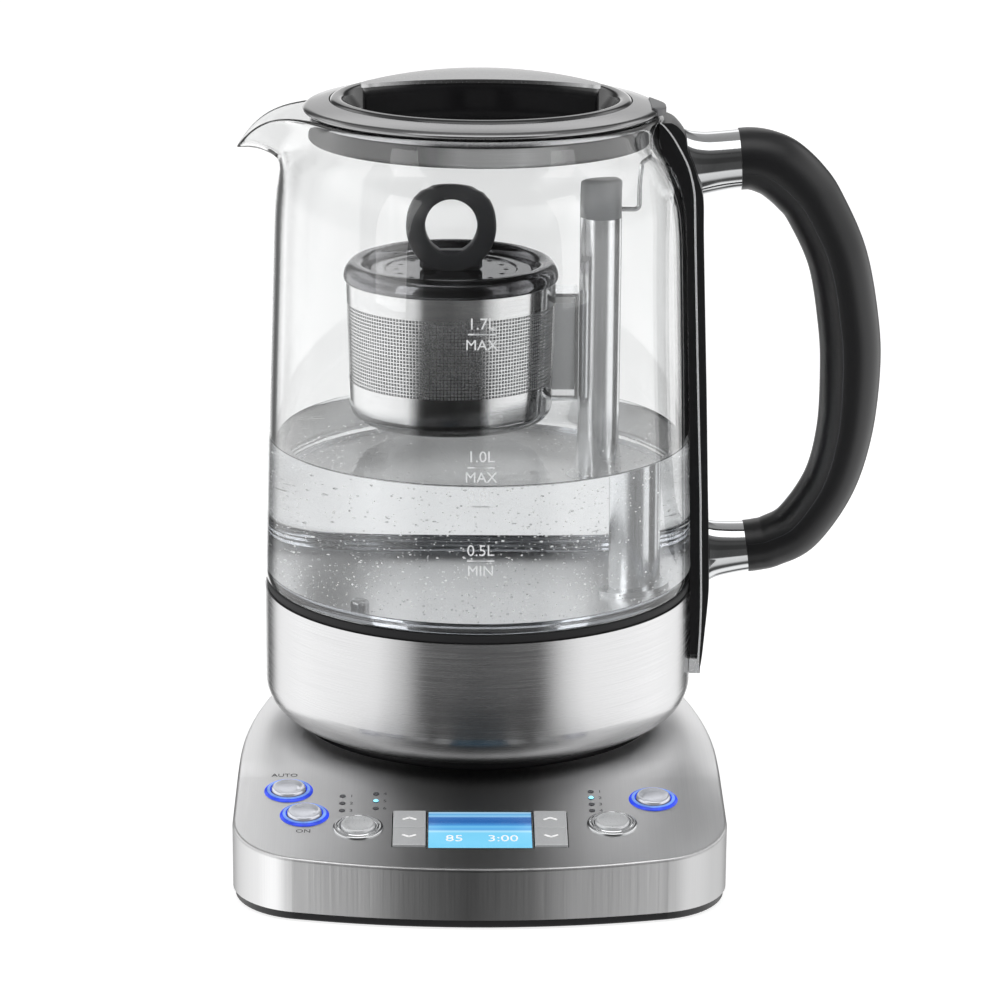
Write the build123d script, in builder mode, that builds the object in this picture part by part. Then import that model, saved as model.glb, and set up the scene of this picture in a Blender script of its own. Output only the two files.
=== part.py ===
from build123d import *
from math import cos, radians, sin, sqrt, tan
import os

# Automatic tea maker: a power base with a control panel, and a glass jug that lifts off it, with a
# push-in lid and a motor-driven tea basket.
# Millimetres. The origin is on the table, on the axis of the jug. -Y is the front with the
# controls, +X is the handle and -X is the spout.

# ---------------------------------------------------------------- general fits
slip_gap = 0.3  # round each piece that slides or turns in another
seat_gap = 0.1  # between pieces that are fixed against each other
past = 10.0  # cutting shapes run past the body by this much
screw_r = 1.5  # shank of every screw
screw_head_r = 2.8
screw_head_h = 1.6

# ---------------------------------------------------------------- base, plan
base_half_width = 82.0
base_front = 134.0  # jug axis to the middle of the bowed front
base_rear = 76.0  # jug axis to the middle of the bowed rear
front_bow_r = 260.0
front_corner_r = 27.0
side_straight_end = -50.0  # behind this the sides curve in
side_bow_r = 292.0
rear_bow_r = 170.0
rear_corner_r = 22.0

# ---------------------------------------------------------------- base, heights
plinth_h = 3.6  # black tray below the steel cover
plinth_inset = 0.8
plinth_edge_r = 0.8
foot_proud = 0.6  # foot ring below the tray
foot_groove = 1.2
foot_inset = 3.4
foot_width = 5.6
front_screw_from = (16.0, -40.0)  # from the side, and along
rear_screw_from = (44.0, 26.0)  # from the middle, and from the rear
screw_boss_r = 4.0
screw_length = 12.0
base_top = 30.6  # level part of the cover, under the jug
panel_slope = 7.5  # degrees, the control panel falls to the front
panel_blend_r = 110.0
cover_wall = 1.6
cover_edge_r = 1.1
tray_lip_h = 6.0  # wall of the tray that stands inside the cover
tray_lip_wall = 1.8

# ---------------------------------------------------------------- jug seat and power connector
seat_clearance = 1.5  # round the foot plate
seat_depth = 1.3
seat_plate = 2.6
connector_r = 21.0
connector_rise = 7.5  # above the seat
connector_body_r = 27.0
connector_body_h = 9.0
contact_ring_radii = (15.0, 8.0)  # the wide ring first
contact_ring_width = 2.0
contact_ring_h = 0.5
centre_pin_r = 3.0
centre_pin_h = 2.0

# ---------------------------------------------------------------- round buttons
button_r = 5.8
button_rise = 1.9
button_edge_r = 0.5
button_collar_r = 6.6
button_collar_h = 1.0
button_travel = 1.2
ring_outer_r = 8.4
ring_rise = 0.9
ring_sleeve_r = 6.9
ring_sleeve_depth = 2.4
# share of the half width towards the side, and distance from the middle of the bowed front
auto_start_from = (0.783, 54.3)
keep_warm_from = (0.711, 37.3)
tea_from = (0.4915, 28.5)
strength_from = (0.534, 31.2)
start_from = (0.711, 48.6)

# ---------------------------------------------------------------- indicator lamps
lamp_r = 1.0
lamp_rise = 0.15
tea_lamp_from = (-5.6, 11.9)  # front lamp of the left column, from the tea button
tea_lamp_pitch_x = 11.2
tea_lamp_pitch_y = 5.1
tea_lamp_skew = 1.6  # the right column sits this much further back
tea_lamp_rows = 3
strength_lamp_from = (-6.3, 9.4)  # front lamp, from the strength button
strength_lamp_pitch = 4.5
strength_lamp_count = 4

# ---------------------------------------------------------------- display and its keys
display_from_front = 14.0
display_depth = 26.4
display_share = 0.2146  # of the half width
window_t = 1.2
window_sunk = 0.3
module_margin = 1.5
key_share = 0.133  # of the half width
key_rise = 0.9
key_t = 2.2
key_corner_r = 2.4
key_block_depth = 23.6
key_stem_r = 1.8

# ---------------------------------------------------------------- boards inside the base
stem_depth = 4.4  # end of each stem below the panel
switch_size = 5.0
switch_h = 1.4
board_t = 1.6
board_side_gap = 11.0
board_front_gap = 16.0
board_depth_y = 44.0
board_post_r = 3.0
board_post_inset = 6.0
power_board_size = (60.0, 34.0)
power_board_y = 18.0
power_board_rise = 4.4  # above the tray's floor
power_board_t = 1.6
relay_size = (18.0, 12.0, 6.0)
relay_x = -14.0
transformer_size = (14.0, 16.0, 7.0)
transformer_x = 14.0

# ---------------------------------------------------------------- cord inlet
inlet_z = 12.0
inlet_width = 16.0
inlet_height = 12.0
inlet_corner_r = 3.0
inlet_proud = 3.0
inlet_inside = 10.0
inlet_bore_r = 3.6
inlet_bore_depth = 11.0

# ---------------------------------------------------------------- jug, steel foot
skirt_r = 75.2
skirt_top = 78.6
skirt_bottom = 33.0
skirt_bottom_curve = 12.0
skirt_wall = 1.2
foot_plate_in = 12.7  # foot plate inside the skirt
skirt_overlap = 6.5  # turned-in bottom of the skirt over the foot plate
foot_plate_rim = 8.0  # width of the ring that it stands on
foot_plate_t = 4.6
foot_plate_recess = 1.6
foot_rest_gap = 0.1
socket_gap = 1.0  # round the base's half of the power connector
socket_wall = 4.0
socket_roof = 3.0
socket_lift = 0.6  # mouth of the socket above the seat
socket_flange_out = 3.5
socket_flange_t = 2.0
socket_turn_gap = 0.4
seal_h = 3.0
seal_inset = 0.7
seal_lip_h = 4.0  # the seal's inner lip reaches up inside the glass
seal_lip_wall = 1.6
floor_t = 2.0
element_ring_r = 25.0
element_r = 3.2
element_open_angle = 60.0
terminal_length = 10.0
sensor_at = (-37.0, -40.0)
sensor_r = 3.2
sensor_rise = 7.0

# ---------------------------------------------------------------- jug, glass
glass_wall = 2.6
glass_in = 0.2  # foot of the glass inside the skirt
glass_lean = 5.1  # shoulder inside the foot
shoulder_z = 219.0
glass_neck_base = 235.0
neck_in = 8.5  # neck inside the shoulder
glass_top = 246.2
shoulder_r = 22.0
neck_blend_r = 5.0
spout_length = 22.1  # beyond the neck
spout_root = 21.4  # inside the neck
spout_heights = (203.0, 224.0, 232.5, 241.0)
spout_reach = (4.6, 7.2, 15.1, 27.1)  # beyond the neck, at each height
spout_half_widths = (5.0, 20.0, 25.0, 28.0)
spout_nose_r = 3.6
lip_root = 2.4  # inside the neck
lip_fall = 11.0  # the pouring lip falls this much from the rim to the tip

# ---------------------------------------------------------------- lid
rim_in = 1.1  # steel rim of the lid inside the neck
rim_width = 9.1
rim_edge_z = 249.5
rim_inner_z = 251.7
rim_t = 1.3
plug_bottom = 236.4
plug_wall = 1.4
plug_gap = 1.2  # between the plug and the glass neck
gasket_bottom = 243.4
gasket_fit = 0.3
cup_flange_t = 1.4
plug_top = 246.0
cup_lip_z = 253.4
cup_wall = 1.6
cup_floor_z = 241.4

# ---------------------------------------------------------------- lid grip
grip_half_length = 41.4
grip_half_width = 11.4
grip_top_z = 260.0
grip_arch_r = 227.0
grip_stem_half_length = 38.0
grip_stem_half_width = 8.4
grip_stem_top = 251.0
inlay_t = 1.2
inlay_margin = 0.8

# ---------------------------------------------------------------- handle
spine_half_width = 11.0
spine_foot_out = 3.1  # beyond the skirt
spine_foot_z = 70.6
spine_knee_out = 4.7  # beyond the shoulder of the glass
spine_knee_z = 221.0
spine_head_out = 2.0  # beyond the neck
spine_head_z = 243.0
spine_knee_r = 24.0
spine_bottom = 48.0
spine_core_t = 7.0  # drawn through the glass, then cut back to it
trim_t = 1.0
spine_cover_t = 2.8
spine_cover_top = 214.0
spine_taper_start = 71.0
end_clip_bottom = 43.4
end_clip_half_width = 7.0
thumb_plate_size = (8.0, 22.0, 8.0)
thumb_plate_top = 250.8
upper_socket_z = 229.8
upper_socket_r = 10.5
upper_socket_reach = 27.6  # beyond the head of the spine
lower_socket_z = 91.5
lower_socket_r = 9.5
lower_socket_reach = 16.7  # beyond the foot of the spine
bracket_plate_t = 2.2
bracket_plate_over = 5.0  # plate beyond the socket, above and below
spigot_length = 4.0
spigot_clearance = 0.15
grip_section_half_y = 11.6
grip_section_half_t = 10.3
grip_wall = 3.0
grip_seam = -3.4  # from the middle of the section, towards the jug
grip_straight = 8.0  # out of the upper socket before the first bend
grip_knees = ((22.6, 226.2), (39.2, 185.0), (39.2, 130.0))  # beyond the upper socket, and height
grip_lower_knee = 20.5  # beyond the upper socket
grip_knee_radii = (24.0, 20.0, 108.0, 100.0, 24.0)

# ---------------------------------------------------------------- lift for the tea basket
post_x = 41.7
post_r = 7.3
post_wall = 1.1
post_top = 209.0
cap_r = 7.2
cap_top = 223.4
cap_spigot = 6.0
cap_edge_r = 2.2
cap_bore_depth = 3.0
post_flange_r = 10.0
post_flange_h = 1.6
stay_r = 0.8
stay_out = 13.3  # beyond the post's axis
stay_low_z = 211.5
stay_high_z = 229.5
stay_end_gap = 0.2  # to the inside of the neck
stay_end_z = 231.8
stay_bend_r = 1.8
screw_shaft_r = 2.0
screw_shaft_top = 205.0
magnet_top = 178.0
magnet_length = 26.0
motor_r = 12.0
motor_height = 18.0
motor_boss_r = 6.0
motor_boss_h = 4.0

# ---------------------------------------------------------------- tea basket
bracket_depth = 8.9  # between the cup's foot and the post
cup_top_r = 36.6
cup_bottom_r = 35.2
basket_wall = 0.9
basket_bottom = 138.8
basket_edge_r = 4.0
rim_z = 188.4
roll_height = 6.0
roll_out = 0.9  # beyond the cup
roll_width = 6.9
roll_round = 2.6
ledge_width = 2.2
ledge_t = 1.0
lid_disc_t = 1.4
lid_fit = 0.4
lid_hole_r = 1.0
lid_hole_ring_r = 19.0
lid_hole_count = 16
pull_centre_z = 205.8
pull_outer_r = 15.6
pull_inner_r = 9.0
pull_t = 6.4
pull_neck_half = 11.0
bracket_bottom = 146.0
bracket_top = 184.0
bracket_half_width = 7.0
bracket_strip_t = 1.2
pad_margin = 2.5

# ---------------------------------------------------------------- worked out from the above
slope = radians(panel_slope)
foot_plate_r = skirt_r - foot_plate_in
skirt_hole_r = foot_plate_r - skirt_overlap
seat_r = foot_plate_r + seat_clearance
panel_back = -foot_plate_r  # where the slope would meet the level part
glass_foot_r = skirt_r - glass_in
shoulder_x = glass_foot_r - glass_lean
neck_r = shoulder_x - neck_in
rim_outer_r = neck_r - rim_in
rim_inner_r = rim_outer_r - rim_width
spine_foot = (skirt_r + spine_foot_out, spine_foot_z)
spine_knee = (shoulder_x + spine_knee_out, spine_knee_z)
spine_head = (neck_r + spine_head_out, spine_head_z)
upper_socket_end = spine_head[0] + upper_socket_reach
lower_socket_end = spine_foot[0] + lower_socket_reach
seat_z = base_top - seat_depth
screw_boss_bottom = plinth_h + seat_gap
connector_top = seat_z + connector_rise
socket_inner_r = connector_r + socket_gap
socket_outer_r = socket_inner_r + socket_wall
socket_bottom = seat_z + socket_lift
socket_inner_top = connector_top + centre_pin_h + socket_lift
foot_plate_top = skirt_bottom + skirt_wall + foot_plate_recess
glass_foot_z = skirt_top + seal_h
floor_under = skirt_top - floor_t
neck_inner_r = neck_r - glass_wall
plug_r = neck_inner_r - plug_gap
board_depth = stem_depth + button_travel + slip_gap + switch_h
display_front = display_from_front - base_front
display_half_width = display_share * base_half_width
key_width = key_share * base_half_width
board_half_width = base_half_width - board_side_gap
board_front = board_front_gap - base_front
board_back = board_front + board_depth_y
base_screw_places = [
    (side * x, y)
    for side in (-1, 1)
    for x, y in (
        (base_half_width - front_screw_from[0], front_screw_from[1]),
        (rear_screw_from[0], base_rear - rear_screw_from[1]),
    )
]
key_length = (key_block_depth - slip_gap) / 2
key_mid_x = display_half_width + slip_gap + key_width / 2
key_block_front = display_front + (display_depth - key_block_depth) / 2
key_rows = {
    "down": key_block_front + key_length / 2,
    "up": key_block_front + key_block_depth - key_length / 2,
}
auto_start_at = (-auto_start_from[0] * base_half_width, auto_start_from[1] - base_front)
keep_warm_at = (-keep_warm_from[0] * base_half_width, keep_warm_from[1] - base_front)
tea_at = (-tea_from[0] * base_half_width, tea_from[1] - base_front)
strength_at = (strength_from[0] * base_half_width, strength_from[1] - base_front)
start_at = (start_from[0] * base_half_width, start_from[1] - base_front)
button_places = {
    "auto_start_button": auto_start_at,
    "keep_warm_button": keep_warm_at,
    "tea_button": tea_at,
    "strength_button": strength_at,
    "start_button": start_at,
}
ring_places = (auto_start_at, keep_warm_at, start_at)
bezel_places = (tea_at, strength_at)
key_places = {
    f"{side}_{row}_key": (sign * key_mid_x, key_rows[row])
    for side, sign in (("left", -1), ("right", 1))
    for row in ("up", "down")
}
lamp_places = [
    (
        tea_at[0] + tea_lamp_from[0] + column * tea_lamp_pitch_x,
        tea_at[1] + tea_lamp_from[1] + column * tea_lamp_skew + row * tea_lamp_pitch_y,
    )
    for column in range(2)
    for row in range(tea_lamp_rows)
] + [
    (
        strength_at[0] + strength_lamp_from[0],
        strength_at[1] + strength_lamp_from[1] + row * strength_lamp_pitch,
    )
    for row in range(strength_lamp_count)
]
lid_disc_z = rim_z + ledge_t + seat_gap
motor_top = floor_under - motor_boss_h
bracket_outer_x = post_x - post_r - slip_gap
basket_x = bracket_outer_x - bracket_depth - cup_bottom_r
roll_outer_r = cup_top_r + roll_out
roll_inner_r = roll_outer_r - roll_width
stay_x = post_x + stay_out
stay_end = (neck_inner_r - stay_end_gap, stay_end_z)
basket_axis = Axis((basket_x, 0, 0), (0, 0, 1))
basket_section = Plane(origin=(basket_x, 0, 0), x_dir=(1, 0, 0), z_dir=(0, -1, 0))

os.makedirs("parts", exist_ok=True)


def save(part, name):
    """Labels a finished piece and writes it."""
    part.label = name
    export_step(part, f"parts/{name}.step")


def panel_plane(x, y, depth=0.0):
    """Plane of the sloping panel, centred over x, y and sunk by depth."""
    surface = Vector(x, y, base_top + (y - panel_back) * tan(slope))
    normal = Vector(0, -sin(slope), cos(slope))
    return Plane(origin=surface - normal * depth, x_dir=(1, 0, 0), z_dir=normal)


def circles_meet(centre_a, radius_a, centre_b, radius_b):
    """The point, right of the line from a to b, where two circles meet."""
    across = Vector(*centre_b) - Vector(*centre_a)
    along = (radius_a**2 - radius_b**2 + across.length**2) / (2 * across.length)
    aside = sqrt(radius_a**2 - along**2)
    unit = across.normalized()
    return Vector(*centre_a) + unit * along + Vector(unit.Y, -unit.X) * aside


def base_plan(inset):
    """Plan of the base, drawn in by inset."""
    half_width = base_half_width - inset
    front_r = front_bow_r - inset
    front_side = front_bow_r - base_front - sqrt(front_r**2 - half_width**2)
    rear_middle = base_rear - rear_bow_r
    corner = circles_meet(
        (0, rear_middle),
        rear_bow_r - inset,
        (base_half_width - side_bow_r, side_straight_end),
        side_bow_r - inset,
    )
    with BuildSketch() as plan:
        with BuildLine():
            ThreePointArc((-half_width, front_side), (0, inset - base_front), (half_width, front_side))
            ThreePointArc((-corner.X, corner.Y), (0, base_rear - inset), (corner.X, corner.Y))
            for side in (-1, 1):
                Line((side * half_width, front_side), (side * half_width, side_straight_end))
                TangentArc(
                    (side * half_width, side_straight_end),
                    (side * corner.X, corner.Y),
                    tangent=(0, 1),
                )
        make_face()
        fillet(plan.vertices().group_by(Axis.Y)[0], front_corner_r - inset)
        fillet(plan.vertices().group_by(Axis.Y)[-1], rear_corner_r - inset)
    return plan.sketch


def base_block(inset, drop, floor):
    """The base's outer form, drawn in by inset and lowered by drop, from floor up."""
    front = -base_front - past
    rear = base_rear + past
    top = base_top - drop
    with BuildPart() as block:
        with BuildSketch(Plane.XY.offset(floor)):
            add(base_plan(inset))
        extrude(amount=base_top)
        with BuildSketch(Plane.YZ):
            with BuildLine():
                FilletPolyline(
                    (front, top + (front - panel_back) * tan(slope)),
                    (panel_back, top),
                    (rear, top),
                    radius=panel_blend_r,
                )
                Polyline(
                    (rear, top),
                    (rear, floor),
                    (front, floor),
                    (front, top + (front - panel_back) * tan(slope)),
                )
            make_face()
        extrude(amount=base_half_width, both=True, mode=Mode.INTERSECT)
    return block.part


def outer_loop(faces):
    """The edges that only one of the faces has."""
    seen = {}
    for face in faces:
        for edge in face.edges():
            middle = edge @ 0.5
            key = (round(middle.X, 3), round(middle.Y, 3), round(middle.Z, 3))
            seen.setdefault(key, []).append(edge)
    return [edges[0] for edges in seen.values() if len(edges) == 1]


def lens(half_length, half_width):
    """A pointed oval along X, made of two arcs."""
    with BuildSketch() as oval:
        with BuildLine():
            for side in (-1, 1):
                ThreePointArc(
                    (-half_length, 0), (0, side * half_width), (half_length, 0)
                )
        make_face()
    return oval.sketch


def board_posts():
    """The tray's four posts, cut off along the underside of the control board."""
    with BuildPart() as posts:
        with BuildSketch(Plane.XY.offset(plinth_h)):
            with Locations((0, (board_front + board_back) / 2)):
                with GridLocations(
                    2 * (board_half_width - board_post_inset),
                    board_back - board_front - 2 * board_post_inset,
                    2,
                    2,
                ):
                    Circle(board_post_r)
        extrude(amount=base_top)
        split(bisect_by=panel_plane(0, 0, board_depth + board_t), keep=Keep.BOTTOM)
    return posts.part


def button_ring(place):
    """The fixed ring that a round button works in."""
    with BuildPart() as ring:
        with BuildSketch(panel_plane(*place, depth=ring_sleeve_depth)):
            Circle(ring_sleeve_r)
        extrude(amount=ring_sleeve_depth)
        with BuildSketch(panel_plane(*place)):
            Circle(ring_outer_r)
        extrude(amount=ring_rise)
        top = ring.faces().filter_by(GeomType.PLANE).sort_by(Axis.Z)[-1]
        fillet(top.edges(), 0.6 * ring_rise)
        with BuildSketch(panel_plane(*place, depth=ring_sleeve_depth)):
            Circle(button_r + slip_gap)
        extrude(amount=ring_sleeve_depth + ring_rise, mode=Mode.SUBTRACT)
    return ring.part


def round_button(place):
    """A round button with its stem, at rest."""
    with BuildPart() as button:
        with BuildSketch(panel_plane(*place, depth=ring_sleeve_depth)):
            Circle(button_r)
        extrude(amount=ring_sleeve_depth + button_rise)
        cap = button.faces().filter_by(GeomType.PLANE).sort_by(Axis.Z)[-1]
        fillet(cap.edges(), button_edge_r)
        collar_depth = ring_sleeve_depth + slip_gap + button_collar_h
        with BuildSketch(panel_plane(*place, depth=collar_depth)):
            Circle(button_collar_r)
        extrude(amount=button_collar_h)
        with BuildSketch(panel_plane(*place, depth=stem_depth)):
            Circle(key_stem_r)
        extrude(amount=stem_depth)
    return button.part


def flat_key(x, y):
    """A flat key beside the display, rounded at its outer corner, with its stem."""
    side = 1 if x > 0 else -1
    end = 1 if y > key_block_front + key_block_depth / 2 else -1
    with BuildPart() as key:
        with BuildSketch(panel_plane(x, y, key_t - key_rise)):
            outline = Rectangle(key_width, key_length)
            corners = outline.vertices().sort_by(Axis.X)
            outer_pair = ShapeList(corners[2:] if side > 0 else corners[:2]).sort_by(Axis.Y)
            fillet(outer_pair[-1 if end > 0 else 0], key_corner_r)
        extrude(amount=key_t)
        with BuildSketch(panel_plane(x, y, stem_depth)):
            Circle(key_stem_r)
        extrude(amount=stem_depth)
    return key.part


def glass_form(inset):
    """The round of the glass, drawn in by inset and solid."""
    with BuildPart() as form:
        with BuildSketch(Plane.XZ):
            with BuildLine():
                FilletPolyline(
                    (glass_foot_r - inset, glass_foot_z),
                    (shoulder_x - inset, shoulder_z - inset / 4),
                    (neck_r - inset, glass_neck_base - inset / 4),
                    (neck_r - inset, glass_top),
                    radius=[shoulder_r - inset, neck_blend_r + inset],
                )
                Polyline(
                    (neck_r - inset, glass_top),
                    (0, glass_top),
                    (0, glass_foot_z),
                    (glass_foot_r - inset, glass_foot_z),
                )
            make_face()
        revolve(axis=Axis.Z)
    return form.part


def spout_form(inset):
    """The pouring spout, drawn in by inset and solid."""
    with BuildPart() as form:
        for height, reach, half_width in zip(
            spout_heights, spout_reach, spout_half_widths
        ):
            with BuildSketch(Plane.XY.offset(height)) as section:
                with BuildLine():
                    Polyline(
                        (spout_root - neck_r, inset - half_width),
                        (inset - neck_r - reach, 0),
                        (spout_root - neck_r, half_width - inset),
                        close=True,
                    )
                make_face()
                fillet(section.vertices().sort_by(Axis.X)[0], spout_nose_r - inset / 2)
        loft(ruled=True)
    return form.part


def spine_line(off):
    """Corners of the line that the handle's spine follows, moved outwards by off."""
    foot, knee, head = (Vector(*point) for point in (spine_foot, spine_knee, spine_head))
    rise = (knee - foot).normalized()
    lean = (head - knee).normalized()
    out_low = Vector(rise.Y, -rise.X)
    out_high = Vector(lean.Y, -lean.X)
    foot = foot + rise * ((spine_bottom - foot.Y) / rise.Y)
    miter = (out_low + out_high) * (off / (1 + out_low.dot(out_high)))
    return foot + out_low * off, knee + miter, head + out_high * off


def spine_strip(inner, outer):
    """Section of the spine between two distances from its line."""
    with BuildSketch() as strip:
        with BuildLine():
            near = FilletPolyline(*spine_line(inner), radius=spine_knee_r + inner)
            far = FilletPolyline(*spine_line(outer), radius=spine_knee_r + outer)
            Line(near @ 0, far @ 0)
            Line(near @ 1, far @ 1)
        make_face()
    return strip.sketch


def spine_inside(off):
    """Section of everything between the jug's axis and a distance from the spine's line."""
    with BuildSketch() as inside:
        with BuildLine():
            near = FilletPolyline(*spine_line(off), radius=spine_knee_r + off)
            Polyline(near @ 0, (0, (near @ 0).Y), (0, (near @ 1).Y), near @ 1)
        make_face()
    return inside.sketch


def cup_section(inset):
    """Half section of the basket's cup, drawn in by inset and solid."""
    slant = (cup_top_r - cup_bottom_r) / (rim_z - basket_bottom)
    with BuildSketch() as section:
        with BuildLine():
            FilletPolyline(
                (0, basket_bottom + inset),
                (cup_bottom_r - inset + slant * inset, basket_bottom + inset),
                (cup_top_r - inset, rim_z),
                radius=basket_edge_r - inset,
            )
            Polyline((cup_top_r - inset, rim_z), (0, rim_z), (0, basket_bottom + inset))
        make_face()
    return section.sketch


def basket_form():
    """The basket's outside with a small gap, for cutting what is fixed to it."""
    with BuildPart() as form:
        with BuildSketch(basket_section):
            add(cup_section(-seat_gap))
        revolve(axis=basket_axis)
    return form.part


def handle_socket(z, r, end, inner):
    """A chrome socket that holds one end of the grip against the spine."""
    start = spine_line(inner)[2].X
    plate_height = 2 * (r + bracket_plate_over)
    with BuildPart() as socket:
        with BuildSketch(Plane.YZ.offset(start)):
            with Locations((0, z)):
                Circle(r)
        extrude(amount=end - start)
        with BuildSketch(Plane.YZ.offset(end)):
            with Locations((0, z)):
                Ellipse(
                    grip_section_half_y - grip_wall - spigot_clearance,
                    grip_section_half_t - grip_wall - spigot_clearance,
                )
        extrude(amount=spigot_length)
        with BuildSketch(Plane.XZ):
            add(spine_strip(inner, inner + bracket_plate_t))
            with Locations((start, z)):
                Rectangle(4 * start, plate_height, mode=Mode.INTERSECT)
        extrude(amount=r, both=True)
        with BuildSketch(Plane.XZ):
            add(spine_inside(inner))
        extrude(amount=r + past, both=True, mode=Mode.SUBTRACT)
    return socket.part


def handle_grip(outer):
    """One half of the C-shaped grip: the back, or the side towards the jug."""
    depth = 2 * grip_section_half_t
    with BuildPart() as grip:
        with BuildLine(Plane.XZ) as path:
            FilletPolyline(
                (upper_socket_end + seat_gap, upper_socket_z),
                (upper_socket_end + grip_straight, upper_socket_z),
                *((upper_socket_end + beyond, height) for beyond, height in grip_knees),
                (upper_socket_end + grip_lower_knee, lower_socket_z),
                (lower_socket_end + seat_gap, lower_socket_z),
                radius=list(grip_knee_radii),
            )
        start = Plane(origin=path.line @ 0, x_dir=(0, 1, 0), z_dir=path.line % 0)
        with BuildSketch(start):
            Ellipse(grip_section_half_y, grip_section_half_t)
            Ellipse(
                grip_section_half_y - grip_wall,
                grip_section_half_t - grip_wall,
                mode=Mode.SUBTRACT,
            )
            side = 1 if outer else -1
            with Locations((0, grip_seam + side * (depth + seat_gap) / 2)):
                Rectangle(depth * 2, depth, mode=Mode.INTERSECT)
        sweep(path=path.line)
    return grip.part


# ---------------------------------------------------------------- base
with BuildPart() as base_cover:
    add(base_block(0, 0, plinth_h))
    top_faces = [f for f in base_cover.faces() if f.normal_at().Z > 0.9]
    fillet(outer_loop(top_faces), cover_edge_r)
    add(base_block(cover_wall, cover_wall, plinth_h), mode=Mode.SUBTRACT)
    with BuildSketch(Plane.XY.offset(seat_z - seat_plate)):
        Circle(seat_r + cover_wall)
    extrude(amount=seat_plate)
    with BuildSketch(Plane.XY.offset(seat_z)):
        Circle(seat_r)
    extrude(amount=base_top, mode=Mode.SUBTRACT)
    with BuildSketch(Plane.XY.offset(seat_z - seat_plate)):
        Circle(connector_r + seat_gap)
    extrude(amount=base_top, mode=Mode.SUBTRACT)
    for place in button_places.values():
        with BuildSketch(panel_plane(*place)):
            Circle(ring_sleeve_r + seat_gap)
        extrude(amount=stem_depth, both=True, mode=Mode.SUBTRACT)
    for place in lamp_places:
        with BuildSketch(panel_plane(*place)):
            Circle(lamp_r + seat_gap)
        extrude(amount=stem_depth, both=True, mode=Mode.SUBTRACT)
    with BuildSketch(panel_plane(0, display_front + display_depth / 2)):
        Rectangle(2 * display_half_width + 2 * seat_gap, display_depth + 2 * seat_gap)
    extrude(amount=stem_depth, both=True, mode=Mode.SUBTRACT)
    for side in (-1, 1):
        with BuildSketch(
            panel_plane(side * key_mid_x, key_block_front + key_block_depth / 2)
        ):
            Rectangle(key_width + 2 * slip_gap, key_block_depth + 2 * slip_gap)
        extrude(amount=stem_depth, both=True, mode=Mode.SUBTRACT)
    with BuildSketch(Plane.XZ.offset(-base_rear)):
        with Locations((0, inlet_z)):
            RectangleRounded(
                inlet_width + 2 * seat_gap, inlet_height + 2 * seat_gap, inlet_corner_r
            )
    extrude(amount=inlet_inside, mode=Mode.SUBTRACT)
    with BuildSketch(Plane.XY.offset(screw_boss_bottom)):
        with Locations(*base_screw_places):
            Circle(screw_boss_r)
            Circle(screw_r + seat_gap / 2, mode=Mode.SUBTRACT)
    extrude(amount=base_top - cover_wall - screw_boss_bottom)
save(base_cover.part, "base_cover")

with BuildPart() as base_tray:
    with BuildSketch(Plane.XY.offset(foot_proud)):
        add(base_plan(plinth_inset))
    extrude(amount=plinth_h - foot_proud)
    fillet(base_tray.faces().sort_by(Axis.Z)[0].edges(), plinth_edge_r)
    with BuildSketch(Plane.XY.offset(plinth_h)):
        add(base_plan(cover_wall + seat_gap))
        add(base_plan(cover_wall + seat_gap + tray_lip_wall), mode=Mode.SUBTRACT)
    extrude(amount=tray_lip_h)
    with BuildSketch(Plane.XZ.offset(-base_rear)):
        with Locations((0, inlet_z)):
            RectangleRounded(
                inlet_width + 2 * seat_gap, inlet_height + 2 * seat_gap, inlet_corner_r
            )
    extrude(amount=inlet_inside, mode=Mode.SUBTRACT)
    with BuildSketch(Plane.XY.offset(foot_proud)):
        add(base_plan(foot_inset - seat_gap))
        add(base_plan(foot_inset + foot_width + seat_gap), mode=Mode.SUBTRACT)
    extrude(amount=foot_groove, mode=Mode.SUBTRACT)
    with BuildSketch(Plane.XY.offset(foot_proud)):
        with Locations(*base_screw_places):
            Circle(screw_head_r + seat_gap)
    extrude(amount=screw_head_h, mode=Mode.SUBTRACT)
    with BuildSketch(Plane.XY.offset(foot_proud)):
        with Locations(*base_screw_places):
            Circle(screw_r + seat_gap)
    extrude(amount=plinth_h, mode=Mode.SUBTRACT)
    add(board_posts())
    with BuildSketch(Plane.XY.offset(plinth_h)):
        with Locations((0, power_board_y)):
            with GridLocations(
                power_board_size[0] - 2 * board_post_inset,
                power_board_size[1] - 2 * board_post_inset,
                2,
                2,
            ):
                Circle(board_post_r)
    extrude(amount=power_board_rise)
save(base_tray.part, "base_tray")

with BuildPart() as foot_ring:
    with BuildSketch():
        add(base_plan(foot_inset))
        add(base_plan(foot_inset + foot_width), mode=Mode.SUBTRACT)
    extrude(amount=foot_proud + foot_groove)
save(foot_ring.part, "foot_ring")

with BuildPart() as base_screws:
    with BuildSketch(Plane.XY.offset(foot_proud)):
        with Locations(*base_screw_places):
            Circle(screw_head_r)
    extrude(amount=screw_head_h)
    with BuildSketch(Plane.XY.offset(foot_proud + screw_head_h)):
        with Locations(*base_screw_places):
            Circle(screw_r)
    extrude(amount=screw_length)
save(base_screws.part, "base_screws")

with BuildPart() as base_connector:
    with BuildSketch(Plane.XY.offset(seat_z - seat_plate - connector_body_h)):
        Circle(connector_body_r)
    extrude(amount=connector_body_h)
    with BuildSketch(Plane.XY.offset(seat_z - seat_plate)):
        Circle(connector_r)
    extrude(amount=connector_top - seat_z + seat_plate)
    fillet(base_connector.edges().group_by(Axis.Z)[-1], 1.0)
save(base_connector.part, "base_connector")

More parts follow.
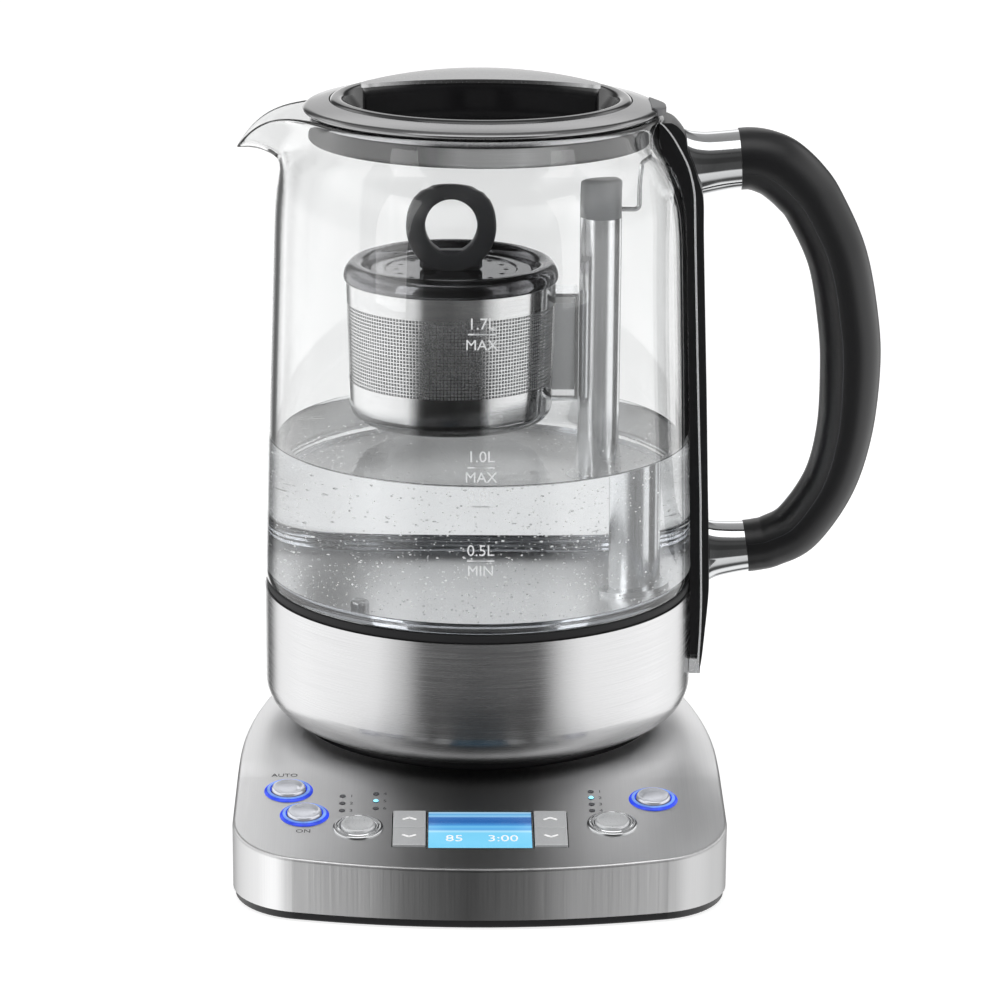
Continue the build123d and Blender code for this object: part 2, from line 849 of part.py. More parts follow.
with BuildPart() as contact_rings:
    with BuildSketch(Plane.XY.offset(connector_top)):
        for middle_r in contact_ring_radii:
            Circle(middle_r + contact_ring_width / 2)
            Circle(middle_r - contact_ring_width / 2, mode=Mode.SUBTRACT)
    extrude(amount=contact_ring_h)
    with BuildSketch(Plane.XY.offset(connector_top)):
        Circle(centre_pin_r)
    extrude(amount=centre_pin_h)
save(contact_rings.part, "contact_rings")

with BuildPart() as cord_inlet:
    with BuildSketch(Plane.XZ.offset(-base_rear - inlet_proud)):
        with Locations((0, inlet_z)):
            RectangleRounded(inlet_width, inlet_height, inlet_corner_r)
    extrude(amount=inlet_proud + inlet_inside)
    with BuildSketch(Plane.XZ.offset(-base_rear - inlet_proud)):
        with Locations((0, inlet_z)):
            Circle(inlet_bore_r)
    extrude(amount=inlet_bore_depth, mode=Mode.SUBTRACT)
    fillet(cord_inlet.faces().sort_by(Axis.Y)[-1].edges(), 0.8)
save(cord_inlet.part, "cord_inlet")

# ---------------------------------------------------------------- panel
with BuildPart() as halo_rings:
    for place in ring_places:
        add(button_ring(place))
save(halo_rings.part, "halo_rings")

with BuildPart() as select_bezels:
    for place in bezel_places:
        add(button_ring(place))
save(select_bezels.part, "select_bezels")

for name, place in button_places.items():
    save(round_button(place), name)

for name, (x, y) in key_places.items():
    save(flat_key(x, y), name)

with BuildPart() as indicator_lamps:
    for place in lamp_places:
        with BuildSketch(panel_plane(*place, depth=board_depth - seat_gap)):
            Circle(lamp_r)
        extrude(amount=board_depth - seat_gap + lamp_rise)
save(indicator_lamps.part, "indicator_lamps")

with BuildPart() as lcd_window:
    with BuildSketch(
        panel_plane(0, display_front + display_depth / 2, window_sunk + window_t)
    ):
        Rectangle(2 * display_half_width, display_depth)
    extrude(amount=window_t)
save(lcd_window.part, "lcd_window")

with BuildPart() as lcd_module:
    with BuildSketch(
        panel_plane(0, display_front + display_depth / 2, board_depth - seat_gap)
    ):
        Rectangle(
            2 * (display_half_width - module_margin), display_depth - 2 * module_margin
        )
    extrude(amount=board_depth - window_sunk - window_t - 2 * seat_gap)
save(lcd_module.part, "lcd_module")

with BuildPart() as control_board:
    with BuildSketch(panel_plane(0, (board_front + board_back) / 2, board_depth + board_t)):
        RectangleRounded(
            2 * board_half_width, (board_back - board_front) / cos(slope), board_post_r
        )
    extrude(amount=board_t)
save(control_board.part, "control_board")

with BuildPart() as tact_switches:
    for place in list(button_places.values()) + list(key_places.values()):
        with BuildSketch(panel_plane(*place, depth=board_depth)):
            Rectangle(switch_size, switch_size)
        extrude(amount=switch_h)
save(tact_switches.part, "tact_switches")

with BuildPart() as power_board:
    with BuildSketch(Plane.XY.offset(plinth_h + power_board_rise)):
        with Locations((0, power_board_y)):
            Rectangle(*power_board_size)
    extrude(amount=power_board_t)
    for x, (width, depth, height) in (
        (relay_x, relay_size),
        (transformer_x, transformer_size),
    ):
        with BuildSketch(Plane.XY.offset(plinth_h + power_board_rise + power_board_t)):
            with Locations((x, power_board_y)):
                Rectangle(width, depth)
        extrude(amount=height)
save(power_board.part, "power_board")

# ---------------------------------------------------------------- jug
with BuildPart() as glass_body:
    add(glass_form(0))
    add(spout_form(0))
    add(glass_form(glass_wall), mode=Mode.SUBTRACT)
    add(spout_form(glass_wall), mode=Mode.SUBTRACT)
    lip_start = lip_root - neck_r
    spout_tip = -neck_r - spout_length
    with BuildSketch(Plane.XZ):
        with BuildLine():
            Polyline(
                (lip_start, glass_top),
                (spout_tip, glass_top - lip_fall),
                (2 * spout_tip, glass_top - lip_fall),
                (2 * spout_tip, 2 * glass_top),
                (lip_start, 2 * glass_top),
                close=True,
            )
        make_face()
    extrude(amount=neck_r, both=True, mode=Mode.SUBTRACT)
save(glass_body.part, "glass_body")

with BuildPart() as steel_skirt:
    with BuildSketch(Plane.XZ):
        with BuildLine():
            FilletPolyline(
                (skirt_hole_r, skirt_bottom),
                (skirt_r, skirt_bottom),
                (skirt_r, skirt_top),
                radius=skirt_bottom_curve,
            )
            FilletPolyline(
                (skirt_hole_r, skirt_bottom + skirt_wall),
                (skirt_r - skirt_wall, skirt_bottom + skirt_wall),
                (skirt_r - skirt_wall, skirt_top),
                radius=skirt_bottom_curve - skirt_wall,
            )
            Line((skirt_hole_r, skirt_bottom), (skirt_hole_r, skirt_bottom + skirt_wall))
            Line((skirt_r, skirt_top), (skirt_r - skirt_wall, skirt_top))
        make_face()
    revolve(axis=Axis.Z)
save(steel_skirt.part, "steel_skirt")

with BuildPart() as seal_band:
    seal_outer_r = skirt_r - seal_inset
    seal_lip_r = glass_foot_r - glass_wall - 2 * slip_gap
    with BuildSketch(Plane.XY.offset(skirt_top)):
        Circle(seal_outer_r)
        Circle(seal_lip_r - seal_lip_wall, mode=Mode.SUBTRACT)
    extrude(amount=seal_h)
    with BuildSketch(Plane.XY.offset(glass_foot_z)):
        Circle(seal_lip_r)
        Circle(seal_lip_r - seal_lip_wall, mode=Mode.SUBTRACT)
    extrude(amount=seal_lip_h)
save(seal_band.part, "seal_band")

with BuildPart() as heater_plate:
    with BuildSketch(Plane.XY.offset(floor_under)):
        Circle(skirt_r - skirt_wall - seat_gap)
        with Locations(sensor_at):
            Circle(sensor_r + seat_gap, mode=Mode.SUBTRACT)
        with Locations((post_x, 0)):
            Circle(screw_shaft_r + slip_gap, mode=Mode.SUBTRACT)
    extrude(amount=floor_t)
save(heater_plate.part, "heater_plate")

element_z = floor_under - seat_gap - element_r
with BuildPart() as heating_element:
    with BuildSketch(Plane.XZ):
        with Locations((element_ring_r, element_z)):
            Circle(element_r)
    revolve(axis=Axis.Z, revolution_arc=360 - element_open_angle)
    with BuildSketch(Plane.XY.offset(element_z - terminal_length)):
        with Locations(
            (element_ring_r, element_r),
            (
                element_ring_r * cos(radians(element_open_angle + 8)),
                -element_ring_r * sin(radians(element_open_angle + 8)),
            ),
        ):
            Circle(element_r / 2)
    extrude(amount=terminal_length)
save(heating_element.part, "heating_element")

with BuildPart() as temperature_sensor:
    with BuildSketch(Plane.XY.offset(floor_under - floor_t)):
        with Locations(sensor_at):
            Circle(sensor_r)
    extrude(amount=2 * floor_t + sensor_rise)
    fillet(temperature_sensor.edges().group_by(Axis.Z)[-1], sensor_r / 2)
save(temperature_sensor.part, "temperature_sensor")

with BuildPart() as jug_base_plate:
    foot_inner_r = foot_plate_r - foot_plate_rim
    with BuildSketch(Plane.XZ):
        with BuildLine():
            Polyline(
                (foot_plate_r, seat_z + foot_rest_gap),
                (foot_plate_r, skirt_bottom - seat_gap),
                (skirt_hole_r - seat_gap, skirt_bottom - seat_gap),
                (skirt_hole_r - seat_gap, foot_plate_top),
                (socket_outer_r + socket_turn_gap, foot_plate_top),
                (socket_outer_r + socket_turn_gap, foot_plate_top - foot_plate_t),
                (foot_inner_r, foot_plate_top - foot_plate_t),
                (foot_inner_r, seat_z + foot_rest_gap),
                close=True,
            )
        make_face()
    revolve(axis=Axis.Z)
save(jug_base_plate.part, "jug_base_plate")

with BuildPart() as jug_connector:
    with BuildSketch(Plane.XY.offset(socket_bottom)):
        Circle(socket_outer_r)
    extrude(amount=socket_inner_top + socket_roof - socket_bottom)
    with BuildSketch(Plane.XY.offset(foot_plate_top + slip_gap)):
        Circle(socket_outer_r + socket_flange_out)
    extrude(amount=socket_flange_t)
    with BuildSketch(Plane.XY.offset(socket_bottom)):
        Circle(socket_inner_r)
    extrude(amount=socket_inner_top - socket_bottom, mode=Mode.SUBTRACT)
save(jug_connector.part, "jug_connector")

# ---------------------------------------------------------------- lift for the tea basket
with BuildPart() as post_tube:
    with BuildSketch(Plane.XY.offset(skirt_top)):
        with Locations((post_x, 0)):
            Circle(post_flange_r)
    extrude(amount=post_flange_h)
    with BuildSketch(Plane.XY.offset(skirt_top)):
        with Locations((post_x, 0)):
            Circle(post_r)
    extrude(amount=post_top - skirt_top)
    with BuildSketch(Plane.XY.offset(skirt_top)):
        with Locations((post_x, 0)):
            Circle(post_r - post_wall)
    extrude(amount=post_top - skirt_top, mode=Mode.SUBTRACT)
save(post_tube.part, "post_tube")

with BuildPart() as post_cap:
    with BuildSketch(Plane.XY.offset(post_top)):
        with Locations((post_x, 0)):
            Circle(cap_r)
    extrude(amount=cap_top - post_top)
    fillet(post_cap.edges().group_by(Axis.Z)[-1], cap_edge_r)
    with BuildSketch(Plane.XY.offset(post_top - cap_spigot)):
        with Locations((post_x, 0)):
            Circle(post_r - post_wall - seat_gap)
    extrude(amount=cap_spigot)
    with BuildSketch(Plane.XY.offset(post_top - cap_spigot)):
        with Locations((post_x, 0)):
            Circle(screw_shaft_r + slip_gap)
    extrude(amount=cap_bore_depth, mode=Mode.SUBTRACT)
save(post_cap.part, "post_cap")

with BuildPart() as post_stay:
    with BuildLine(Plane.XZ) as stay_path:
        FilletPolyline(
            (post_x + cap_r, stay_low_z),
            (stay_x, stay_low_z),
            (stay_x, stay_high_z),
            stay_end,
            radius=stay_bend_r,
        )
    with BuildSketch(Plane(origin=stay_path.line @ 0, z_dir=stay_path.line % 0)):
        Circle(stay_r)
    sweep(path=stay_path.line)
save(post_stay.part, "post_stay")

with BuildPart() as lead_screw:
    with BuildSketch(Plane.XY.offset(motor_top)):
        with Locations((post_x, 0)):
            Circle(screw_shaft_r)
    extrude(amount=screw_shaft_top - motor_top)
save(lead_screw.part, "lead_screw")

with BuildPart() as drive_magnet:
    with BuildSketch(Plane.XY.offset(magnet_top - magnet_length)):
        with Locations((post_x, 0)):
            Circle(post_r - post_wall - slip_gap)
            Circle(screw_shaft_r + slip_gap, mode=Mode.SUBTRACT)
    extrude(amount=magnet_length)
save(drive_magnet.part, "drive_magnet")

with BuildPart() as lift_motor:
    with BuildSketch(Plane.XY.offset(motor_top - motor_height)):
        with Locations((post_x, 0)):
            Circle(motor_r)
    extrude(amount=motor_height - seat_gap)
    with BuildSketch(Plane.XY.offset(motor_top - seat_gap)):
        with Locations((post_x, 0)):
            Circle(motor_boss_r)
            Circle(screw_shaft_r + slip_gap, mode=Mode.SUBTRACT)
    extrude(amount=motor_boss_h)
save(lift_motor.part, "lift_motor")

# ---------------------------------------------------------------- tea basket
with BuildPart() as basket_cup:
    with BuildSketch(basket_section):
        add(cup_section(0))
        add(cup_section(basket_wall), mode=Mode.SUBTRACT)
    revolve(axis=basket_axis)
save(basket_cup.part, "basket_cup")

with BuildPart() as basket_rim:
    with BuildSketch(basket_section):
        with Locations(((roll_outer_r + roll_inner_r) / 2, rim_z + roll_height / 2)):
            RectangleRounded(roll_outer_r - roll_inner_r, roll_height, roll_round)
    revolve(axis=basket_axis)
    with BuildSketch(Plane.XY.offset(rim_z)):
        with Locations((basket_x, 0)):
            Circle(roll_inner_r + roll_round)
            Circle(roll_inner_r - ledge_width, mode=Mode.SUBTRACT)
    extrude(amount=ledge_t)
save(basket_rim.part, "basket_rim")

with BuildPart() as basket_lid:
    with BuildSketch(Plane.XY.offset(lid_disc_z)):
        with Locations((basket_x, 0)):
            Circle(roll_inner_r - lid_fit)
            with PolarLocations(lid_hole_ring_r, lid_hole_count):
                Circle(lid_hole_r, mode=Mode.SUBTRACT)
    extrude(amount=lid_disc_t)
save(basket_lid.part, "basket_lid")

with BuildPart() as ring_handle:
    with BuildSketch(basket_section):
        with Locations((0, pull_centre_z)):
            Circle(pull_outer_r)
        with BuildLine():
            Polyline(
                (-pull_neck_half, lid_disc_z + lid_disc_t),
                (pull_neck_half, lid_disc_z + lid_disc_t),
                (pull_inner_r, pull_centre_z - pull_inner_r),
                (-pull_inner_r, pull_centre_z - pull_inner_r),
                close=True,
            )
        make_face()
        with Locations((0, pull_centre_z)):
            Circle(pull_inner_r, mode=Mode.SUBTRACT)
        with Locations((0, lid_disc_z + lid_disc_t)):
            Rectangle(
                2 * pull_outer_r + past,
                2 * pull_outer_r + past,
                align=(Align.CENTER, Align.MIN),
                mode=Mode.INTERSECT,
            )
    extrude(amount=pull_t / 2, both=True)
save(ring_handle.part, "ring_handle")

with BuildPart() as carriage_bracket:
    with BuildSketch(Plane.XZ):
        with BuildLine():
            Polyline(
                (basket_x + cup_bottom_r - bracket_strip_t, bracket_bottom),
                (bracket_outer_x, bracket_bottom),
                (bracket_outer_x, bracket_top),
                (basket_x + cup_bottom_r - bracket_strip_t, bracket_top),
                (basket_x + cup_bottom_r - bracket_strip_t, bracket_top - bracket_strip_t),
                (bracket_outer_x - bracket_strip_t, bracket_top - bracket_strip_t),
                (bracket_outer_x - bracket_strip_t, bracket_bottom + bracket_strip_t),
                (basket_x + cup_bottom_r - bracket_strip_t, bracket_bottom + bracket_strip_t),
                close=True,
            )
        make_face()
    extrude(amount=bracket_half_width, both=True)
    add(basket_form(), mode=Mode.SUBTRACT)
save(carriage_bracket.part, "carriage_bracket")

with BuildPart() as magnet_pad:
    pad_inner_x = basket_x + cup_bottom_r
    pad_outer_x = bracket_outer_x - bracket_strip_t - seat_gap
    pad_bottom = bracket_bottom + bracket_strip_t + pad_margin
    pad_top = bracket_top - bracket_strip_t - pad_margin
    with BuildSketch(Plane.XZ):
        with Locations(((pad_inner_x + pad_outer_x) / 2, (pad_bottom + pad_top) / 2)):
            Rectangle(pad_outer_x - pad_inner_x, pad_top - pad_bottom)
    extrude(amount=bracket_half_width - bracket_strip_t, both=True)
    add(basket_form(), mode=Mode.SUBTRACT)
save(magnet_pad.part, "magnet_pad")

# ---------------------------------------------------------------- lid
with BuildPart() as lid_plug:
    with BuildSketch(Plane.XY.offset(plug_bottom)):
        Circle(plug_r)
    extrude(amount=plug_top - plug_bottom)
    fillet(lid_plug.edges().group_by(Axis.Z)[0], plug_wall)
    with BuildSketch(Plane.XY.offset(plug_bottom + plug_wall)):
        Circle(plug_r - plug_wall)
    extrude(amount=plug_top - plug_bottom, mode=Mode.SUBTRACT)
save(lid_plug.part, "lid_plug")

with BuildPart() as lid_gasket:
    with BuildSketch(Plane.XY.offset(gasket_bottom)):
        Circle(neck_inner_r - gasket_fit)
        Circle(plug_r + seat_gap, mode=Mode.SUBTRACT)
    extrude(amount=glass_top + gasket_fit - gasket_bottom)
    with BuildSketch(Plane.XY.offset(glass_top + gasket_fit)):
        Circle(rim_outer_r - gasket_fit)
        Circle(plug_r + seat_gap, mode=Mode.SUBTRACT)
    extrude(amount=rim_edge_z - rim_t - glass_top - gasket_fit - seat_gap)
save(lid_gasket.part, "lid_gasket")

with BuildPart() as lid_rim:
    with BuildSketch(Plane.XZ):
        with BuildLine():
            Polyline(
                (rim_inner_r, rim_inner_z),
                (rim_outer_r, rim_edge_z),
                (rim_outer_r, rim_edge_z - rim_t),
                (plug_r, rim_edge_z - rim_t),
                (rim_inner_r, rim_inner_z - rim_t),
                close=True,
            )
        make_face()
    revolve(axis=Axis.Z)
    fillet(lid_rim.edges().filter_by(GeomType.CIRCLE).sort_by(SortBy.RADIUS)[-2:], rim_t / 3)
save(lid_rim.part, "lid_rim")

with BuildPart() as lid_cup:
    cup_outer_r = rim_inner_r - seat_gap
    with BuildSketch(Plane.XZ):
        with BuildLine():
            Polyline(
                (0, cup_floor_z),
                (cup_outer_r - cup_wall, cup_floor_z),
                (cup_outer_r - cup_wall, cup_lip_z),
                (cup_outer_r, cup_lip_z),
                (cup_outer_r, plug_top + seat_gap + cup_flange_t),
                (plug_r, plug_top + seat_gap + cup_flange_t),
                (plug_r, plug_top + seat_gap),
                (cup_outer_r, plug_top + seat_gap),
                (cup_outer_r, cup_floor_z - cup_wall),
                (0, cup_floor_z - cup_wall),
                close=True,
            )
        make_face()
    revolve(axis=Axis.Z)
save(lid_cup.part, "lid_cup")

with BuildPart() as grip_bar:
    with BuildSketch(Plane.XY.offset(cup_floor_z)):
        add(lens(grip_stem_half_length, grip_stem_half_width))
    extrude(amount=grip_stem_top - cup_floor_z)
    with BuildSketch(Plane.XY.offset(grip_stem_top)):
        add(lens(grip_half_length, grip_half_width))
    extrude(amount=grip_top_z - grip_stem_top)
    with BuildSketch(Plane.XZ):
        with Locations((0, grip_top_z - grip_arch_r)):
            Circle(grip_arch_r - inlay_t - seat_gap)
    extrude(amount=2 * grip_half_width, both=True, mode=Mode.INTERSECT)
save(grip_bar.part, "grip_bar")

with BuildPart() as grip_inlay:
    with BuildSketch(Plane.XY.offset(grip_stem_top)):
        add(lens(grip_half_length - inlay_margin, grip_half_width - inlay_margin))
    extrude(amount=grip_top_z - grip_stem_top)
    with BuildSketch(Plane.XZ):
        with Locations((0, grip_top_z - grip_arch_r)):
            Circle(grip_arch_r)
            Circle(grip_arch_r - inlay_t, mode=Mode.SUBTRACT)
    extrude(amount=2 * grip_half_width, both=True, mode=Mode.INTERSECT)
save(grip_inlay.part, "grip_inlay")

# ---------------------------------------------------------------- handle
with BuildPart() as spine_core:
    with BuildSketch(Plane.XZ):
        add(spine_strip(-spine_core_t, 0))
    extrude(amount=spine_half_width, both=True)
    add(glass_form(-seat_gap), mode=Mode.SUBTRACT)
    with BuildSketch():
        Circle(skirt_r + seat_gap)
    extrude(amount=glass_foot_z, mode=Mode.SUBTRACT)
save(spine_core.part, "spine_core")

with BuildPart() as spine_trim:
    with BuildSketch(Plane.XZ):
        add(spine_strip(0, trim_t))
    extrude(amount=spine_half_width, both=True)
save(spine_trim.part, "spine_trim")

with BuildPart() as spine_cover:
    with BuildSketch(Plane.XZ):
        add(spine_strip(trim_t, trim_t + spine_cover_t))
        foot_x = spine_line(trim_t)[0].X
        with BuildLine():
            Polyline(
                (foot_x, spine_bottom),
                (foot_x + spine_cover_t, spine_taper_start),
                (foot_x + 2 * spine_cover_t, spine_taper_start),
                (foot_x + 2 * spine_cover_t, spine_bottom - spine_cover_t),
                (foot_x, spine_bottom - spine_cover_t),
                close=True,
            )
        make_face(mode=Mode.SUBTRACT)
        with Locations((foot_x, spine_cover_top)):
            Rectangle(
                spine_half_width * 3,
                glass_top,
                align=(Align.CENTER, Align.MIN),
                mode=Mode.SUBTRACT,
            )
    extrude(amount=spine_half_width, both=True)
save(spine_cover.part, "spine_cover")

with BuildPart() as end_clip:
    with BuildSketch(Plane.XY.offset(end_clip_bottom)):
        with Locations((spine_line(0)[0].X - spine_core_t / 2, 0)):
            RectangleRounded(spine_core_t, 2 * end_clip_half_width, trim_t)
        Circle(skirt_r + seat_gap, mode=Mode.SUBTRACT)
    extrude(amount=spine_bottom - slip_gap - end_clip_bottom)
save(end_clip.part, "end_clip")

with BuildPart() as thumb_plate:
    plate_x, plate_y, plate_h = thumb_plate_size
    plate_start = rim_outer_r + 2 * slip_gap
    with BuildSketch(Plane.XY.offset(thumb_plate_top - plate_h)):
        with Locations((plate_start + plate_x / 2 - rim_t, 0)):
            RectangleRounded(plate_x + 2 * rim_t, plate_y, rim_t)
        Circle(plate_start, mode=Mode.SUBTRACT)
    extrude(amount=plate_h)
    with BuildSketch(Plane.XZ):
        add(spine_strip(-spine_core_t - seat_gap, trim_t + bracket_plate_t + 2 * seat_gap))
    extrude(amount=spine_half_width + seat_gap, both=True, mode=Mode.SUBTRACT)
    add(glass_form(-seat_gap), mode=Mode.SUBTRACT)
save(thumb_plate.part, "thumb_plate")

for name, z, r, end, inner in (
    ("upper_socket", upper_socket_z, upper_socket_r, upper_socket_end, trim_t),
    ("lower_socket", lower_socket_z, lower_socket_r, lower_socket_end, trim_t + spine_cover_t),
):
    save(handle_socket(z, r, end, inner + seat_gap), name)

for name, outer in (("grip_outer", True), ("grip_inner", False)):
    save(handle_grip(outer), name)
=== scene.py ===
"""Automatic tea maker: the looks of its glass jug, tea basket, lid, handle and control base.

Each operator dresses or builds one group of pieces. Lengths in the tables are millimetres in the
frame of the solids: the origin is on the table on the jug's axis, -Y is the front, +X the handle.
"""

import random
from math import atan2, cos, hypot, pi, radians, sin, sqrt, tan

import bmesh
import bpy
from mathutils import Matrix, Vector


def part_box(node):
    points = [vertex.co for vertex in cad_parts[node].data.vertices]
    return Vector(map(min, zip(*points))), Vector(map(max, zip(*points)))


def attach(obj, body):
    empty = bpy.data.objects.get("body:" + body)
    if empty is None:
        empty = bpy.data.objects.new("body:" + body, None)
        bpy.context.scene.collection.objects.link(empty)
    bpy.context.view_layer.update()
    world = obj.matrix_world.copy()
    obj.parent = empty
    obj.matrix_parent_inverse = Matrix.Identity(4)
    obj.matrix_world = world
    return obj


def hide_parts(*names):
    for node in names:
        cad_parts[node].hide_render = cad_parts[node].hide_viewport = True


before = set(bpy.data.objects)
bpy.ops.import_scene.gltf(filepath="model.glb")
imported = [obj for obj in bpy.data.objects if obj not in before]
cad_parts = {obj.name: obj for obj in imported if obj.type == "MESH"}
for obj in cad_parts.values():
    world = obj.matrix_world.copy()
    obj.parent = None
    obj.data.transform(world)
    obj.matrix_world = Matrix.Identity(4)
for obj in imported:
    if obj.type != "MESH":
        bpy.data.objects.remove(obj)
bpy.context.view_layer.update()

bl_info = {
    "name": "Automatic Tea Maker",
    "version": (1, 0, 0),
    "blender": (4, 5, 0),
    "location": "3D View > Sidebar > Tea Maker",
    "description": "Dresses the glass tea maker and its base, and sets up a studio round them",
    "category": "Object",
}

MM = 0.001
PANEL_SLOPE = radians(7.5)
PANEL_BACK = (-62.5, 30.6)  # y and z of the line where the panel starts to fall
PRINT_RISE = 0.03  # of printed figures above the panel
GLASS_PRINT_RISE = 0.06  # of the level scale above the glass
DISPLAY_MIDDLE = -106.8
BASKET_AXIS = -10.0
BASKET_REACH = 40.0  # from its axis, with some room to spare
BASKET_LOWEST = 84.2  # its underside when it is lowered
BRACKET_AXIS, BRACKET_REACH = 30.0, 17.0
POST_AXIS, POST_REACH = 41.7, 9.5
HOLES_LOW, HOLES_HIGH = 152.9, 180.5  # ends of the basket's band of fine holes
BUBBLES_REACH = 69.0
SPINE_HALF = 11.0  # half its width
SEAM_TILT = 0.34  # how far the grip's seams lie from its middle plane, in radians
SPOUT_SPREAD = 32.0  # degrees to each side
GRAIN_DEPTH = 0.00004  # relief of the finishes' fine lines and specks, in metres

# outside of the glass from foot to neck, radius and height
GLASS_SIDE = (
    (75.0, 82.6), (74.6, 99.0), (74.0, 119.0), (73.5, 139.0), (72.9, 159.0), (72.3, 177.0),
    (71.8, 192.0), (71.4, 204.0), (70.8, 213.0), (69.6, 220.0), (67.3, 226.0), (64.6, 230.3),
    (62.6, 233.6), (61.6, 237.2), (61.4, 241.0), (61.4, 244.6),
)
GLASS_RIM = ((61.1, 245.9), (60.1, 246.35), (59.1, 245.9))
# how far the middle of the spout leaves the glass, by height: height, outwards, upwards
SPOUT_OUTSIDE = (
    (203.0, 0.0, 0.0), (213.0, 0.3, 0.0), (222.0, 0.6, 0.4), (226.4, 1.2, 0.9),
    (230.3, 5.4, 0.0), (233.6, 10.6, -1.9), (237.2, 14.7, -4.4), (241.0, 18.6, -7.9),
    (244.6, 21.9, -11.9), (246.4, 23.0, -13.8),
)
SPOUT_INSIDE = (
    (203.0, 0.0, 0.0), (213.0, 0.3, 0.0), (222.0, 0.6, 0.8), (226.4, 1.6, 1.7),
    (230.3, 6.4, 1.7), (233.6, 11.9, 0.1), (237.2, 16.2, -2.4), (241.0, 20.0, -6.0),
    (244.6, 22.8, -10.2), (246.4, 23.3, -12.3),
)
BUTTONS = {
    "auto_start_button": (-64.2, -79.7),
    "keep_warm_button": (-58.3, -96.7),
    "start_button": (58.3, -85.4),
    "tea_button": (-40.3, -105.5),
    "strength_button": (43.8, -102.8),
}
LIT_BUTTONS = ("auto_start_button", "keep_warm_button", "start_button")
# profiles about a button's axis: radius, height above the panel, rounding
BUTTON_CAP = (
    (0, -2.2), (5.2, -2.2, 0.3), (5.8, -1.6, 0.2), (5.8, 1.2, 0.5), (5.2, 1.9, 0.5),
    (4.5, 1.75, 0.4), (3.2, 1.35, 0.6), (0, 1.15),
)
LIT_RING = (
    (6.0, -0.6), (6.0, 0.5, 0.2), (6.3, 0.9, 0.2), (7.1, 0.8, 0.2), (7.7, 0.55, 0.2),
    (8.2, 0.2, 0.2), (8.4, -0.6),
)
GLOW_INSIDE, GLOW_OUTSIDE = 0.0063, 0.0073  # the brightest part of a lit ring, in metres
BEZEL = (
    (6.0, -0.6), (6.0, 0.7, 0.2), (6.5, 1.0, 0.25), (7.0, 0.6, 0.15), (7.5, 0.9, 0.2),
    (8.4, 0.5, 0.3), (8.4, -0.6),
)
LAMPS = tuple(
    (-45.9 + 11.2 * column, -93.6 + 1.6 * column + 5.1 * row)
    for column in (0, 1) for row in (0, 1, 2)
) + tuple((37.5, -93.4 + 4.5 * row) for row in range(4))

# spine by height: outside of its black strip, and of its back
SPINE = (
    (47.6, 77.6, 78.1), (53.4, 77.6, 79.0), (63.5, 78.0, 79.9), (73.8, 78.1, 80.7),
    (82.0, 77.9, 80.9), (104.5, 77.3, 80.2), (114.7, 77.0, 79.8), (147.0, 75.6, 78.7),
    (175.0, 74.5, 77.6), (203.8, 73.4, 76.5), (215.7, 73.0, 76.2), (220.7, 72.6, 75.4),
    (225.0, 71.7, 74.0), (229.3, 70.4, 72.6), (234.0, 68.1, 70.6), (239.2, 65.0, 69.6),
    (242.6, 62.3, 67.0), (244.0, 60.6, 64.6),
)
# middle line of the handle's parts: x, height, half thickness, half width
GRIP = (
    (89.0, 229.85, 10.6, 11.6), (93.0, 230.0, 10.7, 11.6), (97.8, 229.0, 10.9, 11.6),
    (103.2, 226.5, 11.0, 11.6), (109.9, 220.6, 10.8, 11.6), (115.4, 213.2, 10.5, 11.6),
    (123.7, 195.3, 10.4, 11.6), (128.2, 172.3, 10.6, 11.6), (129.3, 155.0, 10.5, 11.6),
    (127.9, 133.2, 9.8, 11.5), (122.9, 114.6, 9.3, 11.2), (112.7, 99.0, 9.3, 10.8),
    (103.4, 93.5, 9.1, 10.5), (98.4, 92.1, 9.1, 10.3), (94.3, 91.5, 9.1, 10.2),
)
UPPER_SOCKET = (
    (66.0, 227.6, 15.0, 7.0), (71.5, 227.9, 12.0, 9.4), (77.2, 228.4, 10.8, 10.3),
    (83.3, 229.2, 10.35, 10.5), (89.8, 229.9, 10.25, 10.5),
)
LOWER_SOCKET = (
    (75.0, 90.0, 16.0, 6.6), (79.5, 90.1, 12.0, 8.4), (82.8, 90.4, 10.3, 9.0),
    (88.6, 91.0, 9.4, 9.2), (94.5, 91.6, 8.9, 9.2),
)

# the room's light by the angle from the front, and by height from straight down to straight up
ROOM_WALL = (
    (-180, 0.95), (-166, 0.95), (-160, 0.10), (-150, 0.10), (-138, 0.95), (-110, 1.1),
    (-56, 1.0), (-40, 0.60), (-30, 0.09), (0, 0.05), (33, 0.09), (46, 0.75), (58, 1.0),
    (110, 1.1), (138, 0.95), (150, 0.10), (160, 0.10), (166, 0.95), (180, 0.95),
)
ROOM_RISE = (
    (0.0, 0.7), (0.30, 1.0), (0.50, 1.0), (0.54, 0.6), (0.66, 0.6), (0.72, 1.0), (0.78, 1.0),
    (0.83, 0.36), (1.0, 0.22),
)
ROOM_LOW = ((0.0, 0.02), (0.05, 0.02), (0.10, 0.5), (0.24, 0.6), (0.28, 0.0), (1.0, 0.0))


# ---------------------------------------------------------------- user's sizes and colours
def length_setting(name, description, default, low, high):
    return bpy.props.FloatProperty(
        name=name, description=description, default=default, min=low, max=high, unit="LENGTH"
    )


def colour_setting(name, description, default):
    return bpy.props.FloatVectorProperty(
        name=name, description=description, default=default, subtype="COLOR", min=0, max=1
    )


